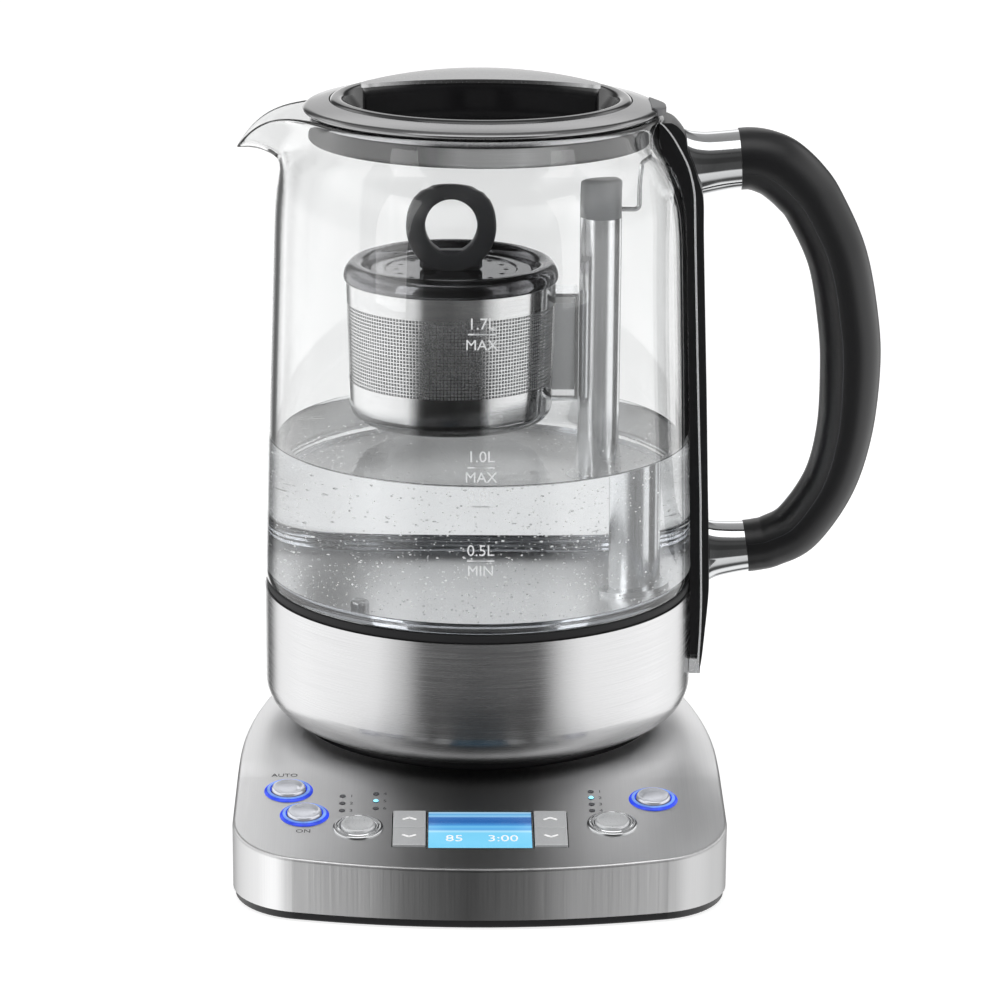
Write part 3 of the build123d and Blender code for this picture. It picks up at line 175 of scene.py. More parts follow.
class TeaMakerSizes(bpy.types.PropertyGroup):
    water_level: length_setting(
        "Water Level", "Height of the water's surface above the table", 0.1318, 0.09, 0.19
    )
    glass_wall: length_setting("Glass Wall", "Thickness of the jug's glass", 0.0026, 0.0015, 0.004)
    bubble_count: bpy.props.IntProperty(
        name="Bubbles", description="Number of air bubbles in the water", default=3200, min=0
    )
    hole_pitch: length_setting(
        "Hole Pitch", "Distance between two rows of the basket's fine holes", 0.0012, 0.0008, 0.002
    )
    camera_distance: length_setting(
        "Camera Distance", "Distance of the camera from the jug's axis", 1.30, 0.8, 4.0
    )


class TeaMakerColours(bpy.types.PropertyGroup):
    steel: colour_setting(
        "Steel", "Brushed steel of the base, the skirt and the lid", (0.60, 0.60, 0.605)
    )
    chrome: colour_setting("Chrome", "Polished trim", (0.80, 0.81, 0.82))
    black: colour_setting(
        "Black", "Black plastic of the grip, the lid and the tray", (0.012, 0.012, 0.013)
    )
    ring_light: colour_setting(
        "Ring Light", "Light of the rings round the main buttons", (0.02, 0.07, 1.0)
    )
    display_light: colour_setting("Display Light", "Backlight of the display", (0.20, 0.66, 0.95))


# ---------------------------------------------------------------- shader nodes
def add_node(tree, kind, inputs=(), **settings):
    """Adds a node; an input is given a value, or another node's socket to be linked from."""
    node = tree.nodes.new("ShaderNode" + kind)
    for key, value in settings.items():
        setattr(node, key, value)
    for key, value in dict(inputs).items():
        if isinstance(value, bpy.types.NodeSocket):
            tree.links.new(value, node.inputs[key])
        else:
            node.inputs[key].default_value = value
    return node


def maths(tree, operation, *values):
    """What a Math node makes of one or two values."""
    return add_node(tree, "Math", dict(enumerate(values)), operation=operation).outputs["Value"]


def vectors(tree, operation, *values):
    """What a Vector Math node makes of one or two vectors."""
    inputs = dict(enumerate(values))
    return add_node(tree, "VectorMath", inputs, operation=operation).outputs["Vector"]


def coordinate(tree, kind="Object"):
    return add_node(tree, "TexCoord").outputs[kind]


def parts_of(tree, vector):
    return add_node(tree, "SeparateXYZ", {"Vector": vector}).outputs


def vector_of(tree, **parts):
    return add_node(tree, "CombineXYZ", parts).outputs["Vector"]


def new_finish(name, **sockets):
    """A material with its shader's own sockets set; returns it with its tree and shader."""
    material = bpy.data.materials.new(name)
    material.use_nodes = True
    shader = material.node_tree.nodes["Principled BSDF"]
    for key, value in sockets.items():
        socket = shader.inputs[key.replace("_", " ")]
        if socket.type == "RGBA" and len(value) == 3:
            value = (*value, 1)
        socket.default_value = value
    return material, material.node_tree, shader


def straight_coords(tree, scale):
    """Object coordinates stretched by the scale along X, Y and Z."""
    return add_node(tree, "Mapping", {"Vector": coordinate(tree), "Scale": scale}).outputs["Vector"]


def ring_coords(tree, turn, fine, centre=(0, 0)):
    """Coordinates that hardly change round a vertical axis and change fast away from it."""
    moved = add_node(
        tree, "Mapping",
        {"Vector": coordinate(tree), "Location": (-centre[0] * MM, -centre[1] * MM, 0)},
    )
    parts = parts_of(tree, moved.outputs["Vector"])
    flat = vector_of(tree, X=parts["X"], Y=parts["Y"])
    radius = add_node(tree, "VectorMath", {0: flat}, operation="LENGTH").outputs["Value"]
    slow = add_node(
        tree, "VectorMath", {0: vectors(tree, "NORMALIZE", flat), "Scale": turn}, operation="SCALE"
    ).outputs["Vector"]
    fast = maths(tree, "MULTIPLY", maths(tree, "ADD", radius, parts["Z"]), fine)
    return vectors(tree, "ADD", slow, vector_of(tree, Z=fast))


def ranged(tree, value, low, high, start=0.3, end=0.7):
    """A value moved from the range of start to end into the one of low to high."""
    return add_node(
        tree, "MapRange",
        {"Value": value, "From Min": start, "From Max": end, "To Min": low, "To Max": high},
    ).outputs["Result"]


def blended(tree, factor, first, second):
    """A mix of two colours, led by a factor."""
    mix = add_node(tree, "Mix", {"Factor": factor, "A": first, "B": second}, data_type="RGBA")
    return next(socket for socket in mix.outputs if socket.type == "RGBA")


def tinted(tree, value, dark, light, start=0.3, end=0.7):
    """A colour between dark and light, led by a value."""
    return blended(tree, ranged(tree, value, 0, 1, start, end), (*dark, 1), (*light, 1))


def ramped(tree, value, stops):
    """A colour read from a ramp of stops: position, and level or colour."""
    node = add_node(tree, "ValToRGB", {"Fac": value})
    elements = node.color_ramp.elements
    while len(elements) < len(stops):
        elements.new(1.0)
    for element, (place, level) in zip(elements, stops):
        element.position = place
        element.color = (level, level, level, 1) if isinstance(level, float) else (*level, 1)
    return node.outputs["Color"]


def soft_noise(tree, fineness):
    """Cloudy noise, the same along X, Y and Z."""
    return add_node(
        tree, "TexNoise",
        {"Vector": straight_coords(tree, (fineness,) * 3), "Scale": 1.0, "Detail": 2.0},
    ).outputs["Fac"]


def shaded(colour, by):
    return tuple(min(1, c * by) for c in colour)


def grain(tree, shader, coords, colour, rough, bump, detail=3.0, tone=0.1):
    """Fine lines or specks: they lead the roughness, the tone and a shallow relief."""
    value = add_node(
        tree, "TexNoise", {"Vector": coords, "Scale": 1.0, "Detail": detail, "Roughness": 0.6}
    ).outputs["Fac"]
    tree.links.new(ranged(tree, value, *rough), shader.inputs["Roughness"])
    tree.links.new(
        tinted(tree, value, shaded(colour, 1 - tone), shaded(colour, 1 + tone)),
        shader.inputs["Base Color"],
    )
    relief = add_node(tree, "Bump", {"Height": value, "Strength": bump, "Distance": GRAIN_DEPTH})
    tree.links.new(relief.outputs["Normal"], shader.inputs["Normal"])


# ---------------------------------------------------------------- finishes
def colours():
    return bpy.context.scene.tea_maker_colours


def sizes():
    return bpy.context.scene.tea_maker_sizes


def with_painted_light(material, tone):
    """Multiplies the colour of a finish by a tone of painted light and shade."""
    tree = material.node_tree
    socket = tree.nodes["Principled BSDF"].inputs["Base Color"]
    tree.links.new(vectors(tree, "MULTIPLY", socket.links[0].from_socket, tone), socket)
    return material


def share_along(tree, axis, start, end):
    """Where a point lies between two places on an axis of its object, from 0 to 1."""
    return ranged(tree, parts_of(tree, coordinate(tree))[axis], 0.0, 1.0, start * MM, end * MM)


def share_across_basket(tree):
    return share_along(tree, "X", BASKET_AXIS - BASKET_REACH, BASKET_AXIS + BASKET_REACH)


def turned_steel(name, centre=(0, 0), rough=(0.20, 0.34), level=1.0, streak=0.65):
    """Steel brushed round a vertical axis; its highlight is drawn out along the axis."""
    material, tree, shader = new_finish(
        name, Metallic=1.0, Anisotropic=streak, Anisotropic_Rotation=0.25
    )
    lines = ring_coords(tree, 2.2, 5200, centre)
    # the level makes a lighter or darker copy of the steel: painted light above 1, painted shade
    # below 1
    grain(tree, shader, lines, shaded(colours().steel, level), rough, 0.25, detail=4, tone=0.09)
    return material


def cup_steel(name):
    """The cup's steel, a lighter copy of the steel, with painted reflection: the middle of its
    front is dark below and lighter above.
    """
    material = turned_steel(name, (BASKET_AXIS, 0), rough=(0.08, 0.15), level=1.62, streak=0.2)
    tree = material.node_tree
    front = ramped(
        tree, share_across_basket(tree),
        ((0.0, 0.0), (0.32, 0.0), (0.37, 1.0), (0.62, 1.0), (0.67, 0.0), (1.0, 0.0)),
    )
    rise = ramped(
        tree, share_along(tree, "Z", 143.0, 183.0),
        ((0.0, 0.10), (0.2, 0.14), (0.8, 0.6), (1.0, 1.0)),
    )
    return with_painted_light(material, blended(tree, front, (0.69, 0.69, 0.69, 1), rise))


def roll_chrome(name):
    """The rolled rim's chrome, a dark copy of the chrome, with painted reflection: dark to the
    right of its middle and light at its ends.
    """
    material = polished(name, (0.21, 0.21, 0.22), rough=(0.04, 0.10))
    tree = material.node_tree
    return with_painted_light(material, ramped(
        tree, share_across_basket(tree),
        ((0.0, 1.0), (0.16, 0.95), (0.22, 0.5), (0.42, 0.5), (0.53, 0.34), (0.59, 0.14),
         (0.75, 0.18), (0.83, 0.8), (1.0, 1.0)),
    ))


def plug_steel(name):
    """The plug's steel, a lighter copy of the steel, with painted reflection: light in the middle
    of the front and dark to the sides.
    """
    material = turned_steel(name, rough=(0.48, 0.6), level=1.58, streak=0.1)
    tree = material.node_tree
    return with_painted_light(material, ramped(
        tree, share_along(tree, "X", -54.0, 62.0),
        ((0.0, 0.08), (0.18, 0.12), (0.28, 0.10), (0.34, 0.4), (0.40, 0.85), (0.5, 1.0),
         (0.58, 0.95), (0.65, 0.45), (0.71, 0.14), (0.85, 0.12), (1.0, 0.08)),
    ))


def panel_steel(name, level):
    """Steel brushed from the back of the panel to the front and down its edge, with painted
    reflection: dark in the middle and lighter to the sides, by one ramp on the top and another on
    the front.
    """
    material, tree, shader = new_finish(name, Metallic=1.0, Anisotropic=0.55)
    grain(
        tree, shader, straight_coords(tree, (5200, 22, 22)), shaded(colours().steel, level),
        (0.30, 0.42), 0.12, detail=4, tone=0.04,
    )
    tree.links.new(vector_of(tree, X=1.0), shader.inputs["Tangent"])
    # painted reflection: ramps by the distance from the panel's middle, one for the top and one for
    # the front
    from_middle = maths(tree, "ADD", parts_of(tree, coordinate(tree))["X"], 0.004)
    share = ranged(tree, maths(tree, "ABSOLUTE", from_middle), 0.0, 1.0, 0.0, 0.08)
    above = ramped(tree, share, ((0.0, 0.29), (0.25, 0.38), (0.50, 0.72), (0.72, 0.9), (1.0, 0.9)))
    before = ramped(
        tree, share,
        ((0.0, 0.21), (0.25, 0.43), (0.42, 0.95), (0.78, 1.0), (0.86, 0.68), (1.0, 0.45)),
    )
    upward = ranged(tree, parts_of(tree, coordinate(tree, "Normal"))["Z"], 0.0, 1.0, 0.5, 0.9)
    return with_painted_light(material, blended(tree, upward, before, above))


def grained(name, colour, rough, scale, bump, tone, **sockets):
    """A finish with specks or lines of the given fineness along X, Y and Z."""
    material, tree, shader = new_finish(name, **sockets)
    grain(tree, shader, straight_coords(tree, scale), colour, rough, bump, tone=tone)
    return material


def polished(name, colour=None, rough=(0.03, 0.10)):
    colour = colour or tuple(colours().chrome)
    return grained(name, colour, rough, (900, 900, 900), 0.02, 0.02, Metallic=1.0)


def satin(name, colour, rough=(0.26, 0.38), metallic=1.0, bump=0.12):
    """Metal or metal paint with a fine even grain."""
    return grained(name, colour, rough, (2600, 2600, 2600), bump, 0.06, Metallic=metallic)


def drawn(name, colour, rough, metallic):
    """Metal with the fine upright lines of a drawn tube."""
    return grained(name, colour, rough, (900, 900, 6), 0.05, 0.05, Metallic=metallic)


def moulded(name, colour, rough=(0.34, 0.46), speck=2400, bump=0.15, gloss=0.0, specular=0.5):
    """Plastic or rubber with the fine texture of its mould."""
    return grained(
        name, colour, rough, (speck,) * 3, bump, 0.12, Coat_Weight=gloss, Coat_Roughness=0.06,
        Specular_IOR_Level=specular,
    )


def clear(name, colour, ior, rough=(0.0, 0.012), speck=60, bump=0.0):
    """Glass or water with hardly visible streaks."""
    material, tree, shader = new_finish(name, Transmission_Weight=1.0, IOR=ior)
    value = soft_noise(tree, speck)
    tree.links.new(ranged(tree, value, *rough), shader.inputs["Roughness"])
    tree.links.new(tinted(tree, value, shaded(colour, 0.985), colour), shader.inputs["Base Color"])
    if bump:
        relief = add_node(tree, "Bump", {"Height": value, "Strength": bump, "Distance": 0.002})
        tree.links.new(relief.outputs["Normal"], shader.inputs["Normal"])
    return material


def water_body(name):
    """Water whose colour is painted darker where its side is seen at a low angle: painted shade
    along the water's edges.
    """
    material = clear(name, (0.95, 0.962, 0.975), 1.33, rough=(0.0, 0.004))
    tree = material.node_tree
    upright = maths(tree, "ABSOLUTE", parts_of(tree, coordinate(tree, "Normal"))["Z"])
    facing = add_node(tree, "LayerWeight", {"Blend": 0.5}).outputs["Facing"]
    slant = maths(tree, "MULTIPLY", facing, ranged(tree, upright, 1.0, 0.3, 0.0, 1.0))
    return with_painted_light(material, ramped(
        tree, slant,
        ((0.0, 1.0), (0.07, 0.96), (0.13, 0.88), (0.19, 0.83), (0.23, 0.77), (0.275, 0.67),
         (0.325, 0.5), (0.38, 0.4), (1.0, 0.4)),
    ))


def lit(name, colour, strength, base=(0.02, 0.03, 0.1), rough=0.2, dim=True):
    """A lamp behind clear plastic: its light is a little uneven. It also gives painted glow to the
    keys' arrows and the bubbles' glints, which are no lamps.
    """
    material, tree, shader = new_finish(
        name, Base_Color=base, Roughness=rough, Emission_Strength=strength
    )
    glow = tinted(tree, soft_noise(tree, 260), shaded(colour, 0.6), colour)
    tree.links.new(glow, shader.inputs["Emission Color"])
    if dim:
        dimmed(tree, shader, strength)
    return material


def dimmed(tree, shader, strength):
    """Full light where it is looked at, and a weaker glow on what stands round it."""
    seen = add_node(tree, "LightPath").outputs["Is Camera Ray"]
    level = ranged(tree, seen, 0.06 * strength, strength, 0.0, 1.0)
    tree.links.new(level, shader.inputs["Emission Strength"])


def display_screen(name):
    """A backlit display: pale below, with painted reflections of dark and bright bands in its upper
    part.
    """
    material, tree, shader = new_finish(
        name, Base_Color=(0.03, 0.08, 0.12), Roughness=0.08, Emission_Strength=0.95, Coat_Weight=0.6
    )
    pale = tuple(colours().display_light)
    bands = ramped(
        tree, share_along(tree, "Y", -119.5, -94.0),
        ((0.0, pale), (0.42, pale), (0.47, (0.45, 0.82, 1.0)), (0.52, (0.08, 0.38, 0.80)),
         (0.60, (0.16, 0.55, 0.90)), (0.64, (0.05, 0.28, 0.70)), (0.72, (0.01, 0.10, 0.40)),
         (0.84, (0.015, 0.13, 0.48)), (0.88, (0.30, 0.65, 0.95)), (0.93, (0.12, 0.42, 0.80)),
         (1.0, (0.60, 0.85, 1.0))),
    )
    tree.links.new(bands, shader.inputs["Emission Color"])
    dimmed(tree, shader, 0.95)
    return material


def board_green(name):
    """A circuit board with a net of paler tracks."""
    material, tree, shader = new_finish(name, Coat_Weight=0.4)
    tracks = add_node(
        tree, "TexBrick",
        {"Vector": straight_coords(tree, (160, 160, 160)), "Scale": 1.0, "Mortar Size": 0.05,
         "Color1": (0.01, 0.10, 0.04, 1), "Color2": (0.012, 0.13, 0.05, 1),
         "Mortar": (0.03, 0.22, 0.09, 1)},
    )
    tree.links.new(tracks.outputs["Color"], shader.inputs["Base Color"])
    tree.links.new(ranged(tree, soft_noise(tree, 900), 0.3, 0.5), shader.inputs["Roughness"])
    return material


FINISHES = {
    # The steel rows are lighter and darker copies of one steel colour: a level above 1 is painted
    # light, one below 1 painted shade.
    "panel steel": lambda n: panel_steel(n, 1.62),
    "skirt steel": lambda n: turned_steel(n, rough=(0.16, 0.30), streak=0.7),
    "lid steel": lambda n: turned_steel(n, rough=(0.14, 0.24), level=0.52, streak=0.5),
    "heater steel": lambda n: turned_steel(n, rough=(0.30, 0.42), level=1.55, streak=0.3),
    "grip steel": lambda n: satin(n, shaded(colours().steel, 0.80), rough=(0.18, 0.28), bump=0.03),
    "basket steel": cup_steel,
    "roll chrome": roll_chrome,
    "plug steel": plug_steel,
    "tab grey": lambda n: moulded(n, (0.13, 0.13, 0.135)),
    # metal painted near white and lit by the softboxes: a painted highlight in place of the
    # chrome's reflection
    "bright metal": lambda n: satin(
        n, (0.92, 0.93, 0.94), rough=(0.2, 0.3), metallic=0.3, bump=0.02
    ),
    "dark band": lambda n: polished(n, (0.45, 0.45, 0.46), rough=(0.15, 0.25)),
    "chrome": lambda n: polished(n),
    "basket inside": lambda n: satin(n, (0.42, 0.42, 0.43), rough=(0.45, 0.6), metallic=0.3),
    "button chrome": lambda n: satin(
        n, (0.86, 0.88, 0.95), rough=(0.10, 0.18), metallic=0.6, bump=0.0
    ),
    "satin steel": lambda n: satin(n, (0.62, 0.62, 0.63)),
    "silver plastic": lambda n: satin(
        n, (0.72, 0.73, 0.74), rough=(0.26, 0.36), metallic=0.45, bump=0.03
    ),
    "key plastic": lambda n: satin(
        n, (0.66, 0.67, 0.68), rough=(0.34, 0.44), metallic=0.3, bump=0.03
    ),
    "black plastic": lambda n: moulded(n, colours().black, rough=(0.30, 0.42)),
    "grip plastic": lambda n: moulded(n, colours().black, rough=(0.30, 0.40), speck=3200, bump=0.1),
    "gloss black": lambda n: moulded(
        n, colours().black, rough=(0.10, 0.18), speck=300, bump=0.02, gloss=0.6
    ),
    "grey plastic": lambda n: moulded(n, (0.33, 0.34, 0.35), rough=(0.30, 0.42)),
    "pale plastic": lambda n: moulded(n, (0.55, 0.56, 0.57), rough=(0.30, 0.42)),
    "handle grey": lambda n: moulded(n, (0.045, 0.046, 0.05), rough=(0.38, 0.5)),
    "rubber": lambda n: moulded(n, (0.018, 0.018, 0.019), rough=(0.55, 0.7), specular=0.3),
    "glass": lambda n: clear(n, (0.985, 0.99, 0.99), 1.47),
    "water": water_body,
    "water surface": lambda n: clear(
        n, (0.985, 0.993, 0.995), 1.33, rough=(0.0, 0.004), speck=90, bump=0.05
    ),
    "bubble": lambda n: clear(n, (1.0, 1.0, 1.0), 2.1, rough=(0.0, 0.05)),
    "scale print": lambda n: moulded(n, (0.86, 0.87, 0.88), rough=(0.4, 0.5)),
    # painted glow: the keys' arrows glow white though they are print; the display's figures glow
    # with its backlight
    "arrow print": lambda n: lit(n, (1.0, 1.0, 1.0), 0.35, base=(0.95, 0.95, 0.95), rough=0.4),
    "panel print": lambda n: moulded(n, (0.05, 0.05, 0.055), rough=(0.4, 0.5)),
    "display": display_screen,
    "ring light": lambda n: lit(n, tuple(colours().ring_light), 1.0),
    "ring glow": lambda n: lit(n, (0.22, 0.42, 1.0), 0.95),
    # chrome painted dark: painted shade in place of the dark reflections on the basket's lid
    "dark chrome": lambda n: polished(n, (0.20, 0.20, 0.21), rough=(0.04, 0.10)),
    "floor chrome": lambda n: polished(n, (0.30, 0.31, 0.33), rough=(0.05, 0.12)),
    "post steel": lambda n: drawn(n, (0.80, 0.81, 0.82), rough=(0.14, 0.26), metallic=0.75),
    # painted glints: bubbles that glow white in place of catching highlights
    "glint": lambda n: lit(n, (1.0, 1.0, 1.0), 0.6, base=(0.8, 0.8, 0.8), dim=False),
    "lamp": lambda n: moulded(n, (0.03, 0.032, 0.04), rough=(0.15, 0.25), gloss=0.5),
    "lit lamp": lambda n: lit(n, (0.25, 0.75, 1.0), 2.2),
    "board": board_green,
    "brass": lambda n: satin(n, (0.72, 0.53, 0.24), rough=(0.18, 0.3)),
    "magnet": lambda n: satin(n, (0.16, 0.16, 0.17), rough=(0.4, 0.55)),
    "aluminium": lambda n: satin(n, (0.66, 0.67, 0.68), rough=(0.38, 0.5)),
}


def finish(name):
    """The named finish, made the first time that it is asked for."""
    key = "tea_" + name.replace(" ", "_")
    return bpy.data.materials.get(key) or FINISHES[name](key)


def dress(nodes, name):
    """Gives the solids that are shown as they are a finish."""
    for node in nodes:
        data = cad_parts[node].data
        data.materials.clear()
        data.materials.append(finish(name))


# ---------------------------------------------------------------- making pieces
def new_object(name, data):
    thing = bpy.data.objects.new(name, data)
    bpy.context.scene.collection.objects.link(thing)
    return thing


def as_mesh(bm, name):
    """The mesh of a shape in the making, which ends with it."""
    mesh = bpy.data.meshes.new(name)
    bm.to_mesh(mesh)
    bm.free()
    return mesh


def bevelled(bm, geom, width, segments, affect="EDGES"):
    """Rounds edges, or corners of a profile, by the width."""
    bmesh.ops.bevel(
        bm, geom=geom, offset=width * MM, offset_type="OFFSET", segments=segments, profile=0.5,
        affect=affect, clamp_overlap=affect == "VERTICES", material=-1,
    )


def block(width, depth, height):
    """A box about the origin."""
    bm = bmesh.new()
    bmesh.ops.create_cube(bm, size=1)
    bmesh.ops.scale(bm, vec=(width * MM, depth * MM, height * MM), verts=bm.verts)
    return bm


def lathe(points, steps=96, closed=False, centre=(0, 0), rounds=4):
    """Turns a profile of (radius, height, rounding) about a vertical axis."""
    bm = bmesh.new()
    verts = [bm.verts.new((p[0] * MM, 0, p[1] * MM)) for p in points]
    for pair in zip(verts, verts[1:]):
        bm.edges.new(pair)
    if closed:
        bm.edges.new((verts[-1], verts[0]))
    for vert, point in zip(verts, points):
        if len(point) > 2:
            bevelled(bm, [vert], point[2], rounds, "VERTICES")
    bmesh.ops.spin(
        bm, geom=bm.verts[:] + bm.edges[:], cent=(0, 0, 0), axis=(0, 0, 1), angle=2 * pi,
        steps=steps, use_merge=True,
    )
    bmesh.ops.remove_doubles(bm, verts=bm.verts, dist=1e-6)
    bmesh.ops.recalc_face_normals(bm, faces=bm.faces)
    bmesh.ops.translate(bm, verts=bm.verts, vec=(centre[0] * MM, centre[1] * MM, 0))
    return bm


def sheet(across, along, shape):
    """A net of across by along faces; shape turns two shares, 0 to 1, into a point's place."""
    bm = bmesh.new()
    bmesh.ops.create_grid(bm, x_segments=across, y_segments=along, size=0.5)
    for vert in bm.verts:
        vert.co = Vector(shape(vert.co.x + 0.5, vert.co.y + 0.5)) * MM
    return bm


def closed_up(bm):
    """Joins the seam of a net, closes its ends and turns its faces outwards."""
    bmesh.ops.remove_doubles(bm, verts=bm.verts, dist=1e-6)
    bmesh.ops.holes_fill(bm, edges=[e for e in bm.edges if e.is_boundary], sides=0)
    bmesh.ops.recalc_face_normals(bm, faces=bm.faces)
    return bm


def slab(across, along, shape, drop=0.0, floor=None):
    """A net given a thickness downwards, or walls down to a flat floor."""
    bm = sheet(across, along, shape)
    below = bmesh.ops.extrude_face_region(bm, geom=bm.faces[:], use_keep_orig=True)["geom"]
    for vert in below:
        if isinstance(vert, bmesh.types.BMVert):
            vert.co.z = vert.co.z - drop * MM if floor is None else floor * MM
    return closed_up(bm)


def eased(rows, share):
    """A row on the smooth line through the rows, at a share of the way along it."""
    at = share * (len(rows) - 1)
    first = min(int(at), len(rows) - 2)
    t = at - first
    near = [rows[max(0, min(len(rows) - 1, first + step))] for step in (-1, 0, 1, 2)]
    return tuple(
        0.5 * (
            2 * b + (c - a) * t + (2 * a - 5 * b + 4 * c - d) * t**2
            + (3 * b - a - 3 * c + d) * t**3
        )
        for a, b, c, d in zip(*near)
    )


def tube_point(rows, along, turn, inset=0.0):
    """A place on a tube in the XZ plane; turn goes round its section from the +Y side outwards."""
    x, z, thick, wide = eased(rows, along)
    ahead, behind = eased(rows, min(1, along + 0.01)), eased(rows, max(0, along - 0.01))
    step = Vector((ahead[0] - behind[0], ahead[1] - behind[1])).normalized()
    side = (thick - inset) * sin(turn)
    return Vector((x - step.y * side, (wide - inset) * cos(turn), z + step.x * side))


def tube(rows, along, around=64):
    return closed_up(sheet(around, along, lambda u, v: tube_point(rows, v, 2 * pi * u)))


def prism(levels, loop):
    """Walls through the loops that the levels give, closed at both ends."""
    count, last = len(loop(levels[0])), len(levels) - 1
    return closed_up(
        sheet(count, last, lambda u, v: loop(levels[round(v * last)])[round(u * count) % count])
    )


def gathered(parts):
    """Puts several meshes in the making together in one."""
    whole = bmesh.new()
    for bm in parts:
        mesh = as_mesh(bm, "part")
        whole.from_mesh(mesh)
        bpy.data.meshes.remove(mesh)
    return whole


def placed(bm, matrix):
    bmesh.ops.transform(bm, matrix=matrix, verts=bm.verts)
    return bm


def add_piece(bm, name, look, body, slot, replaces=(), sharp=35):
    """Makes the object of a finished mesh, in its place, riding on its body."""
    mesh = as_mesh(bm, name)
    mesh.shade_smooth()
    mesh.set_sharp_from_angle(angle=radians(sharp))
    piece = new_object(name, mesh)
    for one in (look,) if isinstance(look, str) else look:
        mesh.materials.append(finish(one))
    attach(piece, body)
    if replaces:
        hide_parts(*replaces)
    return piece


def soften_edges(piece, width, segments=3, angle=35):
    edge = piece.modifiers.new("edges", "BEVEL")
    edge.width = width * MM
    edge.segments = segments
    edge.limit_method = "ANGLE"
    edge.angle_limit = radians(angle)
    edge.harden_normals = True


def smooth_surface(piece, levels=1):
    surface = piece.modifiers.new("surface", "SUBSURF")
    surface.levels = surface.render_levels = levels


def on_panel(x, y, rise=0.0):
    """Place on the sloping panel with Z along its normal."""
    z = PANEL_BACK[1] + (y - PANEL_BACK[0]) * tan(PANEL_SLOPE)
    return (
        Matrix.Translation(Vector((x, y, z)) * MM)
        @ Matrix.Rotation(PANEL_SLOPE, 4, "X")
        @ Matrix.Translation((0, 0, rise * MM))
    )


def letters(text, size):
    """Flat letters in the XY plane as a mesh in the making."""
    curve = bpy.data.curves.new("letters", "FONT")
    curve.body = text
    curve.size = size * MM
    curve.align_x = curve.align_y = "CENTER"
    curve.resolution_u = 3
    flat = new_object("letters", curve)
    bpy.context.view_layer.update()
    drawn_text = flat.evaluated_get(bpy.context.evaluated_depsgraph_get())
    mesh = bpy.data.meshes.new_from_object(drawn_text)
    bm = bmesh.new()
    bm.from_mesh(mesh)
    bpy.data.objects.remove(flat)
    bpy.data.curves.remove(curve)
    bpy.data.meshes.remove(mesh)
    return bm


def bar(width, depth, height, at=(0, 0, 0), turn=0.0):
    """A small bar with softened edges, its underside on the XY plane."""
    bm = block(width, depth, height)
    bevelled(bm, bm.edges[:], 0.2 * min(width, depth, height), 1)
    bmesh.ops.rotate(bm, verts=bm.verts, matrix=Matrix.Rotation(turn, 3, "Z"))
    bmesh.ops.translate(bm, verts=bm.verts, vec=Vector((at[0], at[1], at[2] + height / 2)) * MM)
    return bm


def between(table, x):
    """The rows of a table, led by their first number, joined by straight lines."""
    if x <= table[0][0]:
        return table[0][1:]
    for low, high in zip(table, table[1:]):
        if x <= high[0]:
            share = (x - low[0]) / (high[0] - low[0])
            return tuple(a + (b - a) * share for a, b in zip(low[1:], high[1:]))
    return table[-1][1:]


def glass_radius(z):
    """Outside of the glass at a height."""
    return between(tuple((h, r) for r, h in GLASS_SIDE), z)[0]


# ---------------------------------------------------------------- operators
class TEAMAKER_OT_base(bpy.types.Operator):
    """Dress the base's cover, tray, feet and inner parts"""

    bl_idname = "tea_maker.base"
    bl_label = "Base"

    def execute(self, context):
        dress(["base_cover"], "panel steel")
        dress(["base_tray", "base_connector", "cord_inlet", "tact_switches"], "black plastic")
        dress(["foot_ring"], "rubber")
        dress(["base_screws"], "satin steel")
        dress(["contact_rings"], "brass")
        dress(["control_board", "power_board"], "board")
        dress(["lcd_module"], "display")
        return {"FINISHED"}


class TEAMAKER_OT_buttons(bpy.types.Operator):
    """Build the dished button caps, the lit rings and the chrome bezels"""

    bl_idname = "tea_maker.buttons"
    bl_label = "Buttons"

    def execute(self, context):
        rings, bezels = [], []
        for node, (x, y) in BUTTONS.items():
            main = node in LIT_BUTTONS
            add_piece(
                placed(lathe(BUTTON_CAP, steps=72), on_panel(x, y)), node.replace("button", "cap"),
                "button chrome" if main else "silver plastic", node,
                "bright_steel" if main else "silver_plastic", (node,),
            )
            ring = lathe(LIT_RING if main else BEZEL, steps=72, closed=True)
            for face in ring.faces:
                middle = face.calc_center_median()
                glows = main and GLOW_INSIDE < hypot(middle.x, middle.y) < GLOW_OUTSIDE
                face.material_index = int(glows)
            (rings if main else bezels).append(placed(ring, on_panel(x, y)))
        add_piece(
            gathered(rings), "lit_rings", ("ring light", "ring glow"), "base", "lit_ring",
            ("halo_rings",),
        )
        add_piece(
            gathered(bezels), "button_bezels", "chrome", "base", "bright_steel", ("select_bezels",)
        )
        return {"FINISHED"}


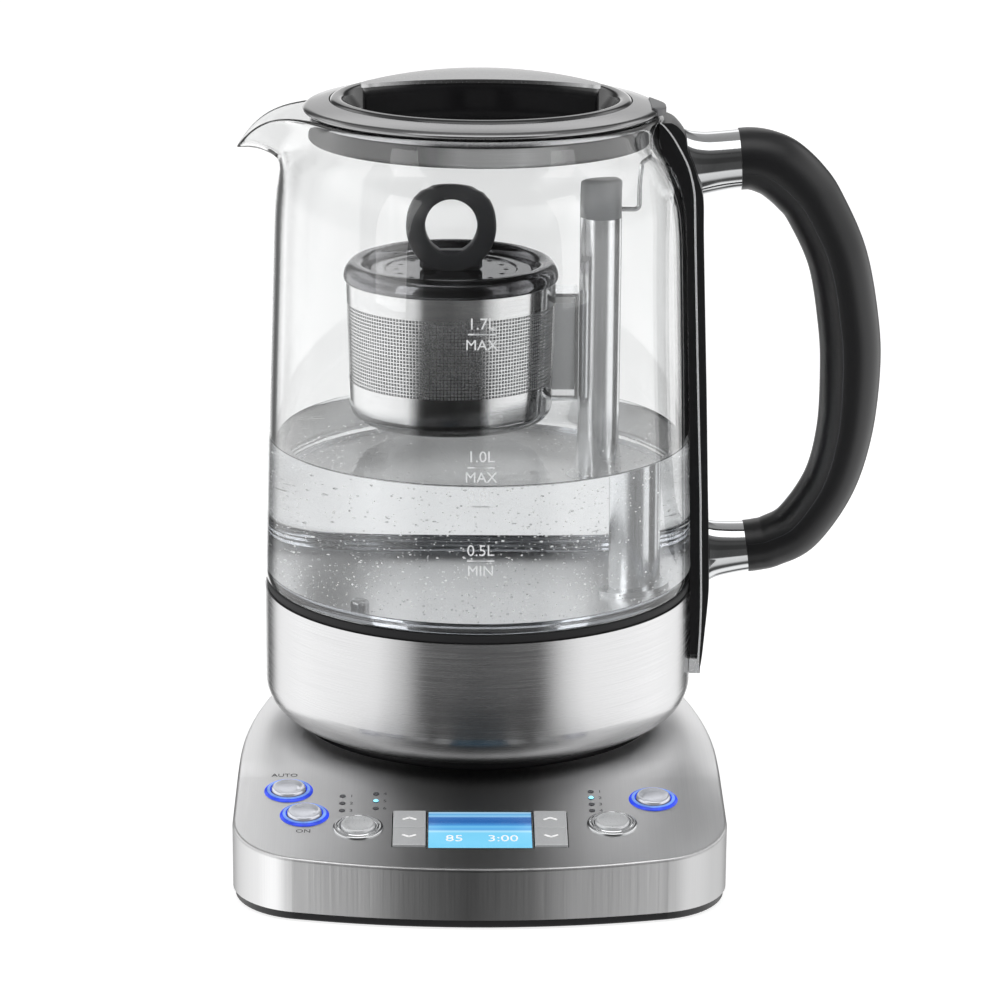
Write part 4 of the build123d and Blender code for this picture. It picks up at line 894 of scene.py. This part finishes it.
class TEAMAKER_OT_display(bpy.types.Operator):
    """Build the display with its frame and figures, and the keys with their arrows"""

    bl_idname = "tea_maker.display"
    bl_label = "Display and Keys"

    def execute(self, context):
        screen = block(34.6, 25.8, 1.1)
        bevelled(screen, screen.edges[:], 0.25, 2)
        placed(screen, on_panel(0, DISPLAY_MIDDLE, -0.75))
        add_piece(screen, "display_screen", "display", "base", "display", ("lcd_window",))
        border = bmesh.new()
        bmesh.ops.create_grid(border, x_segments=1, y_segments=1, size=0.5)
        bmesh.ops.scale(border, vec=(0.0352, 0.0264, 1), verts=border.verts)
        bmesh.ops.inset_individual(border, faces=border.faces[:], thickness=0.0008, depth=0)
        inner = min(border.faces, key=lambda f: f.calc_center_median().length)
        bmesh.ops.delete(border, geom=[inner], context="FACES")
        bmesh.ops.solidify(border, geom=border.faces[:], thickness=0.0006)
        bmesh.ops.recalc_face_normals(border, faces=border.faces)
        placed(border, on_panel(0, DISPLAY_MIDDLE, 0.05))
        add_piece(border, "display_frame", "chrome", "base", "bright_steel")
        figures = [
            placed(letters(text, 6.0), on_panel(x, -112.5, -0.19))
            for text, x in (("85", -8.5), ("3:00", 7.5))
        ]
        add_piece(gathered(figures), "display_figures", "arrow print", "base", "display")
        for node in ("left_up_key", "left_down_key", "right_up_key", "right_down_key"):
            low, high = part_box(node)
            x, y = (low.x + high.x) / 2 / MM, (low.y + high.y) / 2 / MM + 0.1
            key = add_piece(
                placed(block(10.8, 11.7, 3.4), on_panel(x, y, -0.9)), node.replace("key", "keycap"),
                "key plastic", node, "silver_plastic", (node,),
            )
            soften_edges(key, 0.3, 3, 40)
            flip = 1 if "up" in node else -1
            arms = [
                bar(2.9, 0.8, 0.12, (side * 1.0, 0, 0), turn=-side * flip * radians(32))
                for side in (-1, 1)
            ]
            # the arrows glow white: painted light on print, for the keys hold no lamp
            add_piece(
                placed(gathered(arms), on_panel(x, y, 0.86)), node.replace("key", "arrow"),
                "arrow print", node, "silver_plastic",
            )
        return {"FINISHED"}


class TEAMAKER_OT_lamps(bpy.types.Operator):
    """Dress the indicator lamps, light two of them, and print the panel's figures"""

    bl_idname = "tea_maker.lamps"
    bl_label = "Lamps and Print"

    def execute(self, context):
        dress(["indicator_lamps"], "lamp")
        dome = ((0, 0.55), (0.6, 0.45), (0.95, 0.1), (0.95, -0.3), (0, -0.3))
        domes = [placed(lathe(dome, steps=24), on_panel(*LAMPS[k])) for k in (4, 8)]
        add_piece(gathered(domes), "lit_lamps", "lit lamp", "base", "lamp")
        prints = []
        for k, (x, y) in enumerate(LAMPS):
            tea = k < 6
            number = str(3 - k % 3 + (3 if k >= 3 else 0)) if tea else str(10 - k)
            prints.append(placed(letters(number, 2.6), on_panel(x + 3.0, y, PRINT_RISE)))
        for text, x, y in (("AUTO", -66.0, -68.5), ("ON", -58.3, -108.0)):
            prints.append(placed(letters(text, 3.2), on_panel(x, y, PRINT_RISE)))
        add_piece(gathered(prints), "panel_figures", "panel print", "base", "black_plastic")
        return {"FINISHED"}


class TEAMAKER_OT_foot(bpy.types.Operator):
    """Dress the jug's steel foot, its floor and what is under it"""

    bl_idname = "tea_maker.foot"
    bl_label = "Jug Foot"

    def execute(self, context):
        dress(["steel_skirt"], "skirt steel")
        seal = lathe(
            ((70.5, 78.7), (74.3, 78.7), (74.6, 79.1, 0.2), (74.6, 81.2, 0.2), (74.3, 81.6),
             (70.5, 81.6)),
            steps=180, closed=True,
        )
        add_piece(seal, "seal_ring", "rubber", "jug", "silicone", ("seal_band",))
        wall = lathe(
            ((70.3, 78.7), (70.3, 84.6), (69.9, 84.8, 0.1), (69.4, 84.0, 0.1), (69.8, 83.0, 0.1),
             (69.3, 82.2, 0.1), (69.7, 81.6, 0.1), (69.2, 80.6, 0.1), (69.6, 79.8, 0.1),
             (69.1, 78.7)),
            steps=180, closed=True, rounds=2,
        )
        add_piece(wall, "floor_wall", "floor chrome", "jug", "bright_steel")
        dress(["jug_base_plate", "jug_connector"], "black plastic")
        dress(["heater_plate"], "heater steel")
        dress(["heating_element", "lift_motor"], "aluminium")
        dress(["temperature_sensor"], "satin steel")
        return {"FINISHED"}


class TEAMAKER_OT_glass(bpy.types.Operator):
    """Build the glass jug with its drawn spout"""

    bl_idname = "tea_maker.glass"
    bl_label = "Glass"

    def execute(self, context):
        wall = sizes().glass_wall / MM
        inside = [(r - wall, z) for r, z in reversed(GLASS_SIDE)]
        foot_r, foot_z = GLASS_SIDE[0][0], 81.8
        foot = ((foot_r - wall + 0.2, foot_z), (foot_r - 0.2, foot_z))
        glass = lathe((*GLASS_SIDE, *GLASS_RIM, *inside, *foot), steps=216, closed=True)
        for vert in glass.verts:
            self.draw_spout(vert, wall)
        smooth_surface(add_piece(
            glass, "glass_jug", "glass", "jug", "clear_glass", ("glass_body",), sharp=180
        ))
        return {"FINISHED"}

    def draw_spout(self, vert, wall):
        """Moves a point of the round glass to where the spout's shape has it."""
        radius, height = hypot(vert.co.x, vert.co.y) / MM, vert.co.z / MM
        angle = abs(atan2(vert.co.y, -vert.co.x)) * 180 / pi
        if height < SPOUT_OUTSIDE[0][0] or angle > SPOUT_SPREAD:
            return
        neck_r, neck_top = GLASS_SIDE[-1]
        outer = radius > glass_radius(height) - wall / 2
        aside = (hypot(angle, 3) - 3) / (hypot(SPOUT_SPREAD, 3) - 3)
        weight = (1 - aside) ** (2.2 if outer else 2.6)
        out, up = between(SPOUT_OUTSIDE if outer else SPOUT_INSIDE, height)
        if neck_top < height:  # the rim's points lie between the two sides
            share = max(0, min(1, (neck_r - radius) / wall))
            inner_out, inner_up = between(SPOUT_INSIDE, height)
            out, up = out + (inner_out - out) * share, up + (inner_up - up) * share
            weight = (1 - aside) ** (2.2 + 0.4 * share)
        grown = (radius + out * weight) / radius
        vert.co.x *= grown
        vert.co.y *= grown
        vert.co.z += up * weight ** (3 if up < 0 else 1) * MM


class TEAMAKER_OT_water(bpy.types.Operator):
    """Fill the jug with water and its bubbles"""

    bl_idname = "tea_maker.water"
    bl_label = "Water"

    def execute(self, context):
        wall = sizes().glass_wall / MM
        level = sizes().water_level / MM

        def side(z):
            return glass_radius(z) - wall + 0.15  # a little into the glass, so no gap shows

        water = lathe(
            ((0, 78.5), (70.2, 78.5), (70.2, 83.0), (side(83.6), 83.6), (side(105), 105),
             (side(level + 1.1), level + 1.1), (side(level) - 0.6, level + 0.6),
             (side(level) - 1.5, level + 0.25), (side(level) - 3.2, level + 0.05), (0, level)),
            steps=240,
        )
        for face in water.faces:
            if face.normal.z > 0.3 and face.calc_center_median().z > (level - 1) * MM:
                face.material_index = 1
        add_piece(water, "water", ("water", "water surface"), "jug", "clear_glass", sharp=50)
        spread = random.Random(7)
        drops = []
        while len(drops) < sizes().bubble_count:
            angle, share = spread.uniform(0, 2 * pi), sqrt(spread.random())
            height = 79.4 + (level - 81.4) * spread.random() ** 1.5
            radius = share * BUBBLES_REACH
            x, y = radius * cos(angle), radius * sin(angle)
            if not self.is_free(x, y, height):
                continue
            size = 0.14 + 0.30 * spread.random() ** 3
            drop = bmesh.new()
            bmesh.ops.create_icosphere(drop, subdivisions=1, radius=size * MM)
            bmesh.ops.scale(drop, vec=(1, 1, 0.85), verts=drop.verts)
            bmesh.ops.translate(drop, verts=drop.verts, vec=Vector((x, y, height)) * MM)
            # over half the bubbles glow white: painted glints
            painted_glint = spread.random() < 0.55
            for face in drop.faces:
                face.material_index = 1 if painted_glint else 0
            drops.append(drop)
        add_piece(gathered(drops), "bubbles", ("bubble", "glint"), "jug", "clear_glass", sharp=180)
        return {"FINISHED"}

    def is_free(self, x, y, height):
        """Whether a bubble is clear of the post and of the basket on its way down."""
        if hypot(x - POST_AXIS, y) < POST_REACH:
            return False
        under_basket = hypot(x - BASKET_AXIS, y) < BASKET_REACH - 1
        under_bracket = hypot(x - BRACKET_AXIS, y) < BRACKET_REACH
        return height <= BASKET_LOWEST or not (under_basket or under_bracket)


class TEAMAKER_OT_scale(bpy.types.Operator):
    """Print the level scale on the front of the glass"""

    bl_idname = "tea_maker.scale"
    bl_label = "Level Scale"

    def execute(self, context):
        marks = []
        for text, z, size in (
            ("1.7L", 187.6, 5.4), ("MAX", 180.6, 5.0), ("1.0L", 143.0, 5.4), ("MAX", 136.0, 5.0),
            ("0.8L", 129.6, 5.4), ("0.5L", 111.0, 5.4), ("MIN", 104.0, 5.0),
        ):
            bm = letters(text, size)
            bmesh.ops.translate(bm, verts=bm.verts, vec=(0, z * MM, 0))
            marks.append(bm)
        marks += [bar(9.0, 0.5, 0.02, (0, z, 0)) for z in (184.3, 139.5, 126.2, 107.6)]
        whole = gathered(marks)
        for vert in whole.verts:  # wrap the flat print round the glass
            z = vert.co.y
            radius = (glass_radius(z / MM) + GLASS_PRINT_RISE) * MM + vert.co.z
            angle = vert.co.x / radius
            vert.co = Vector((radius * sin(angle), -radius * cos(angle), z))
        add_piece(whole, "level_scale", "scale print", "jug", "grey_plastic")
        return {"FINISHED"}


class TEAMAKER_OT_handle(bpy.types.Operator):
    """Build the spine with its chrome line, the flared sockets, the thumb tab and the grip"""

    bl_idname = "tea_maker.handle"
    bl_label = "Handle"

    def execute(self, context):
        levels = [eased(SPINE, k / 90) for k in range(91)]
        upright = [level for level in levels if level[0] > 53.5]
        clip = [level for level in levels if level[0] < 53.5]
        for name, rows, loop, look, slot, node in (
            ("spine_strip", upright, self.strip_loop, "gloss black", "gloss_black", "spine_core"),
            # the chrome line is painted near white: painted highlight
            ("spine_line", levels, self.line_loop, "bright metal", "bright_steel", "spine_trim"),
            ("spine_back", levels, self.back_loop, "black plastic", "black_plastic", "spine_cover"),
            # the foot clip is painted near white too: painted highlight
            ("foot_clip", clip, self.strip_loop, "bright metal", "silver_plastic", "end_clip"),
        ):
            strip = add_piece(prism(rows, loop), name, look, "jug", slot, (node,), sharp=40)
            soften_edges(strip, 0.2, 2, 50)
        for name, rows, node in (
            ("upper_socket_tube", UPPER_SOCKET, "upper_socket"),
            ("lower_socket_tube", LOWER_SOCKET, "lower_socket"),
        ):
            add_piece(tube(rows, 40), name, "chrome", "jug", "bright_steel", (node,), sharp=60)
        grip = add_piece(
            tube(GRIP, 160, 72), "grip", "grip plastic", "jug", "black_plastic",
            ("grip_outer", "grip_inner"), sharp=60,
        )
        soften_edges(grip, 0.5, 3, 60)
        seams = [
            closed_up(sheet(8, 160, lambda u, v: self.seam_point(side, u, v))) for side in (-1, 1)
        ]
        add_piece(gathered(seams), "grip_seam", "handle grey", "jug", "black_plastic", sharp=180)
        tab = slab(
            8, 24,
            lambda u, v: (
                58.0 + u * (5.4 - 3.4 * abs(2 * v - 1) ** 3), 11.0 * (2 * v - 1), 249.3 - u * u
            ),
            drop=2.2,
        )
        plate = add_piece(
            tab, "thumb_tab", "tab grey", "jug", "grey_plastic", ("thumb_plate",), sharp=50
        )
        soften_edges(plate, 0.5, 3, 40)
        return {"FINISHED"}

    def wall_radius(self, z):
        """Outside of the jug where the spine lies against it."""
        return 75.3 if z < 78.6 else 74.8 if z < 82.6 else glass_radius(z) + 0.1

    def outside(self, z, x, y):
        """The outside of the strip: it bulges where the jug's wall would come through it."""
        return x + max(0.0, self.wall_radius(z) + 0.7 - x) * (1 - (y / 11.2) ** 2)

    def across(self, z, inside, outside, half=SPINE_HALF):
        """A loop at a height: its inside from one edge to the other, and its outside back."""
        steps = [half * k / 5 for k in range(-5, 6)]
        return [(inside(y), y, z) for y in steps] + [(outside(y), y, z) for y in reversed(steps)]

    def strip_loop(self, level):
        z, line, _ = level
        wall = self.wall_radius(z)
        return self.across(
            z, lambda y: min(sqrt(wall * wall - y * y), line - 0.1),
            lambda y: self.outside(z, line, y),
        )

    def line_loop(self, level):
        z, line, _ = level
        return self.across(
            z, lambda y: self.outside(z, line, y) - 0.15,
            lambda y: self.outside(z, line, y) + 0.55, half=SPINE_HALF + 0.1,
        )

    def back_loop(self, level):
        z, line, back = level
        return self.across(
            z, lambda y: self.outside(z, line, y) + 0.4,
            lambda y: max(back, self.outside(z, line, y) + 0.8) + 0.6 * (1 - (y / SPINE_HALF) ** 2),
        )

    def seam_point(self, side, around, along):
        """The fine line along the grip where its two halves meet."""
        turn = pi + SEAM_TILT if side < 0 else -SEAM_TILT
        middle = tube_point(GRIP, 0.006 + 0.988 * along, turn, 0.08)
        angle = 2 * pi * around
        return middle + Vector((cos(angle), sin(angle), 0)) * 0.22


class TEAMAKER_OT_lift(bpy.types.Operator):
    """Dress the lift's post, its screw and its magnet"""

    bl_idname = "tea_maker.lift"
    bl_label = "Lift"

    def execute(self, context):
        dress(["post_tube", "post_stay"], "post steel")
        dress(["post_cap"], "grey plastic")
        dress(["lead_screw"], "satin steel")
        dress(["drive_magnet"], "magnet")
        return {"FINISHED"}


class TEAMAKER_OT_basket(bpy.types.Operator):
    """Build the tea basket with its band of fine holes, its rolled rim and its lid"""

    bl_idname = "tea_maker.basket"
    bl_label = "Tea Basket"

    def execute(self, context):
        axis = (BASKET_AXIS, 0)
        pitch = sizes().hole_pitch / MM
        low, high = HOLES_LOW, HOLES_HIGH
        rows = round((high - low) / pitch)
        lower = lathe(
            ((0, 138.8), (35.1, 138.8, 5.0), (35.5, low), (35.0, low), (34.6, 139.5, 4.4),
             (0, 139.5)),
            steps=120, centre=axis, rounds=6,
        )
        upper = lathe(
            ((36.35, high), (36.6, 188.6), (36.0, 188.6), (35.8, high)),
            steps=120, closed=True, centre=axis,
        )
        add_piece(
            gathered([lower, upper]), "basket_walls", "basket steel", "basket", "satin_steel",
            ("basket_cup",),
        )
        step = (high - low) / rows
        band = lathe(
            tuple((35.5 + 0.85 * k / rows, low + k * step) for k in range(rows + 1)),
            steps=round(2 * pi * 35.9 / pitch), centre=axis,
        )
        wire = 0.19 * pitch * MM  # half of what is left between two holes
        bmesh.ops.inset_individual(band, faces=band.faces[:], thickness=wire, depth=0)
        holes = [f for f in band.faces if self.is_hole(f, pitch)]
        bmesh.ops.delete(band, geom=holes, context="FACES")
        add_piece(band, "basket_mesh", "basket steel", "basket", "satin_steel", sharp=60)
        liner = lathe(((34.7, low - 1), (35.5, high + 1)), steps=120, centre=axis)
        bmesh.ops.solidify(liner, geom=liner.faces[:], thickness=0.15 * MM)
        bmesh.ops.recalc_face_normals(liner, faces=liner.faces)
        add_piece(liner, "basket_liner", "basket inside", "basket", "satin_steel")
        roll = lathe(
            ((36.7, 187.4), (37.5, 188.4), (37.3, 190.6), (36.4, 192.8), (34.6, 194.3),
             (32.4, 194.3), (30.6, 193.2), (29.7, 191.6), (29.6, 189.6), (31.4, 188.9),
             (35.2, 188.7)),
            steps=96, closed=True, centre=axis,
        )
        smooth_surface(add_piece(
            roll, "basket_roll", "roll chrome", "basket", "bright_steel", ("basket_rim",), sharp=180
        ))
        # the basket lid's chrome is painted dark: painted shade
        dress(["basket_lid"], "dark chrome")
        dress(["carriage_bracket"], "chrome")
        dress(["magnet_pad"], "pale plastic")
        step_ring = lathe(
            ((22.4, 190.8), (23.2, 191.5, 0.3), (27.6, 191.5, 0.3), (28.6, 190.8)),
            steps=96, closed=True, centre=axis,
        )
        # painted shade: the step's chrome is painted dark like the lid
        add_piece(step_ring, "basket_lid_step", "dark chrome", "basket_cover", "bright_steel")
        loop = lathe(
            ((9.0, -3.2, 0.9), (15.6, -3.2, 0.9), (15.6, 3.2, 0.9), (9.0, 3.2, 0.9)),
            steps=96, closed=True,
        )
        centre = Matrix.Translation(Vector((BASKET_AXIS, 0, 205.8)) * MM)
        placed(loop, centre @ Matrix.Rotation(pi / 2, 4, "X"))
        neck = bar(21.6, 6.2, 6.8, (BASKET_AXIS, 0, 190.95))
        add_piece(
            gathered([loop, neck]), "ring_pull", "handle grey", "basket_cover", "black_plastic",
            ("ring_handle",),
        )
        return {"FINISHED"}

    def is_hole(self, face, pitch):
        """Whether the face is the middle left by an inset, with sides well under the pitch."""
        return max(edge.calc_length() for edge in face.edges) < 0.8 * pitch * MM


class TEAMAKER_OT_lid(bpy.types.Operator):
    """Build the lid's sloping rim, its glossy bowl and the grip that stands in it"""

    bl_idname = "tea_maker.lid"
    bl_label = "Lid"

    def execute(self, context):
        dress(["lid_gasket"], "rubber")
        ring = lathe(
            ((58.45, 243.8), (58.72, 243.95), (58.72, 245.3), (58.45, 245.45)),
            steps=180, closed=True,
        )
        add_piece(ring, "gasket_ring", "dark band", "lid", "bright_steel", sharp=60)
        dress(["lid_plug"], "plug steel")
        rim = lathe(
            ((51.9, 250.35, 0.2), (60.0, 248.6, 1.0), (61.1, 247.3, 0.6), (60.4, 246.5, 0.3),
             (51.9, 246.5)),
            steps=180, closed=True, rounds=6,
        )
        add_piece(rim, "steel_rim", "lid steel", "lid", "brushed_steel", ("lid_rim",), sharp=60)
        bowl = lathe(
            ((0, 241.4), (44.5, 241.4, 3.0), (46.9, 249.8, 0.8), (47.8, 251.1, 0.7),
             (49.5, 251.5, 0.8), (51.2, 250.9, 0.8), (51.8, 249.7, 0.4), (51.8, 246.6),
             (50.8, 246.4), (50.8, 240.0), (0, 240.0)),
            steps=180, rounds=5,
        )
        add_piece(bowl, "lid_bowl", "gloss black", "lid", "gloss_black", ("lid_cup",), sharp=60)
        top = slab(48, 10, lambda u, v: self.grip_point(u, v, 41.0, 0.0), drop=1.3)
        plate = add_piece(
            top, "grip_plate", "grip steel", "lid", "brushed_steel", ("grip_inlay",), sharp=50
        )
        soften_edges(plate, 0.35, 3, 50)
        body = slab(48, 10, lambda u, v: self.grip_point(u, v, 40.4, 1.2), floor=241.5)
        add_piece(body, "grip_body", "gloss black", "lid", "gloss_black", ("grip_bar",), sharp=50)
        return {"FINISHED"}

    def grip_point(self, u, v, reach, depth):
        """A place on the arched top of the grip, whose plan is a lens with blunt ends."""
        x = reach * sin((u - 0.5) * pi)
        beyond = max(0.0, abs(x) - reach + 4.5)
        lens = (reach - 28.2) * (1 - 0.79 * (x / reach) ** 2)
        end = sqrt(max(0.0, 4.5**2 - beyond**2)) if beyond else lens
        y = (2 * v - 1) * min(lens, end)
        return x, y, 259.5 - depth - x * x / 410 - 0.5 * (y / 12.8) ** 2


class TEAMAKER_OT_studio(bpy.types.Operator):
    """Lay the pale floor and place the soft lights and the camera"""

    bl_idname = "tea_maker.studio"
    bl_label = "Studio"

    def execute(self, context):
        self.lay_floor()
        self.light_world()
        for name, at, aim, size, power in (
            ("left_softbox", (-0.95, -0.8, 0.5), (0, 0, 0.12), (0.45, 1.1), 4.2),
            ("right_softbox", (1.0, -0.75, 0.5), (0, 0, 0.12), (0.4, 1.1), 3.2),
            ("overhead_softbox", (0.0, -0.42, 1.45), (0, 0, 0.1), (1.5, 0.8), 5.0),
        ):
            self.add_softbox(name, at, aim, size, power)
        self.place_camera(context.scene)
        context.scene.view_settings.view_transform = "Standard"
        return {"FINISHED"}

    def lay_floor(self):
        floor = bmesh.new()
        bmesh.ops.create_grid(floor, x_segments=2, y_segments=2, size=4.0)
        mesh = as_mesh(floor, "floor")
        mesh.materials.append(self.floor_finish())
        new_object("floor", mesh)

    def floor_finish(self):
        """Even white to the camera, darker to the sides for other rays, and left out of mirrors."""
        material, tree, shader = new_finish(
            "pale_floor", Emission_Color=(1, 1, 1), Specular_IOR_Level=0.1
        )
        path = add_node(tree, "LightPath").outputs
        seen = path["Is Camera Ray"]
        aside = maths(tree, "ABSOLUTE", parts_of(tree, coordinate(tree))["X"])
        unseen_level = ramped(
            tree, aside,
            ((0.0, 0.52), (0.13, 0.52), (0.17, 0.42), (0.35, 0.38), (0.46, 0.05), (1.0, 0.04)),
        )
        level = add_node(
            tree, "MapRange", {"Value": seen, "To Min": unseen_level, "To Max": 0.78}
        ).outputs["Result"]
        tree.links.new(level, shader.inputs["Emission Strength"])
        pale = maths(tree, "MAXIMUM", seen, ranged(tree, aside, 1, 0, 0.35, 0.46))
        tree.links.new(
            tinted(tree, pale, (0.1, 0.1, 0.1), (0.5, 0.5, 0.5), 0, 1), shader.inputs["Base Color"]
        )
        clear_of_mirrors = add_node(tree, "MixShader", {
            0: maths(tree, "GREATER_THAN", path["Glossy Depth"], 0.5),
            1: shader.outputs["BSDF"],
            2: add_node(tree, "BsdfTransparent").outputs["BSDF"],
        }).outputs["Shader"]
        tree.links.new(clear_of_mirrors, tree.nodes["Material Output"].inputs["Surface"])
        return material

    def light_world(self):
        """Bright at the sides and behind, dark in front and between; one tone to the camera."""
        world = bpy.data.worlds.new("studio")
        bpy.context.scene.world = world
        world.use_nodes = True
        tree = world.node_tree
        background = tree.nodes["Background"]
        away = parts_of(tree, coordinate(tree, "Generated"))
        turn = maths(tree, "ARCTAN2", away["X"], maths(tree, "MULTIPLY", away["Y"], -1.0))
        wall = ramped(tree, ranged(tree, turn, 0.0, 1.0, -pi, pi), tuple(
            (0.5 + angle / 360, level) for angle, level in ROOM_WALL
        ))
        height = ranged(tree, away["Z"], 0.0, 1.0, -1.0, 1.0)
        light = vectors(tree, "MULTIPLY", wall, ramped(tree, height, ROOM_RISE))
        above = ranged(tree, away["Z"], 0.0, 0.22, 0.55, 0.9)
        light = vectors(tree, "MAXIMUM", light, vector_of(tree, X=above, Y=above, Z=above))
        light = vectors(tree, "MAXIMUM", light, ramped(tree, height, ROOM_LOW))
        seen = add_node(tree, "LightPath").outputs["Is Camera Ray"]
        tree.links.new(
            blended(tree, seen, light, (0.76, 0.76, 0.76, 1)), background.inputs["Color"]
        )
        background.inputs["Strength"].default_value = 1.35

    def add_softbox(self, name, at, aim, size, power):
        light = bpy.data.lights.new(name, "AREA")
        light.shape = "RECTANGLE"
        light.size, light.size_y = size
        light.energy = power
        box = new_object(name, light)
        box.location = at
        box.rotation_euler = (Vector(aim) - Vector(at)).to_track_quat("-Z", "Y").to_euler()
        box.visible_glossy = name == "overhead_softbox"

    def place_camera(self, scene):
        rise, turn, roll = radians(15.6), radians(-0.9), radians(0.4)
        back = Vector((sin(turn) * cos(rise), -cos(turn) * cos(rise), sin(rise)))
        right = Vector((cos(turn), sin(turn), 0))
        up = back.cross(right)
        data = bpy.data.cameras.new("camera")
        data.lens = 133.0
        data.sensor_width = 36
        data.clip_start, data.clip_end = 0.05, 20
        camera = new_object("camera", data)
        place = back * sizes().camera_distance + right * 0.0075 + Vector((0, 0, 0.108))
        axes = Matrix((right, up, back)).transposed().to_4x4()
        camera.matrix_world = Matrix.Translation(place) @ axes @ Matrix.Rotation(roll, 4, "Z")
        scene.camera = camera


OPERATORS = (
    TEAMAKER_OT_base, TEAMAKER_OT_buttons, TEAMAKER_OT_display, TEAMAKER_OT_lamps, TEAMAKER_OT_foot,
    TEAMAKER_OT_glass, TEAMAKER_OT_water, TEAMAKER_OT_scale, TEAMAKER_OT_handle, TEAMAKER_OT_lift,
    TEAMAKER_OT_basket, TEAMAKER_OT_lid, TEAMAKER_OT_studio,
)


class TEAMAKER_PT_panel(bpy.types.Panel):
    bl_label = "Tea Maker"
    bl_idname = "TEAMAKER_PT_panel"
    bl_space_type = "VIEW_3D"
    bl_region_type = "UI"
    bl_category = "Tea Maker"

    def draw(self, context):
        layout = self.layout
        for group in (context.scene.tea_maker_sizes, context.scene.tea_maker_colours):
            box = layout.box()
            for key in type(group).__annotations__:
                box.prop(group, key)
        for operator in OPERATORS:
            layout.operator(operator.bl_idname)


def register():
    for kind in (TeaMakerSizes, TeaMakerColours, *OPERATORS, TEAMAKER_PT_panel):
        bpy.utils.register_class(kind)
    bpy.types.Scene.tea_maker_sizes = bpy.props.PointerProperty(type=TeaMakerSizes)
    bpy.types.Scene.tea_maker_colours = bpy.props.PointerProperty(type=TeaMakerColours)


def unregister():
    del bpy.types.Scene.tea_maker_colours
    del bpy.types.Scene.tea_maker_sizes
    for kind in (TEAMAKER_PT_panel, *reversed(OPERATORS), TeaMakerColours, TeaMakerSizes):
        bpy.utils.unregister_class(kind)


def main():
    register()
    for operator in OPERATORS:
        group, name = operator.bl_idname.split(".")
        getattr(getattr(bpy.ops, group), name)()
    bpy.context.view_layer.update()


if __name__ == "__main__":
    main()
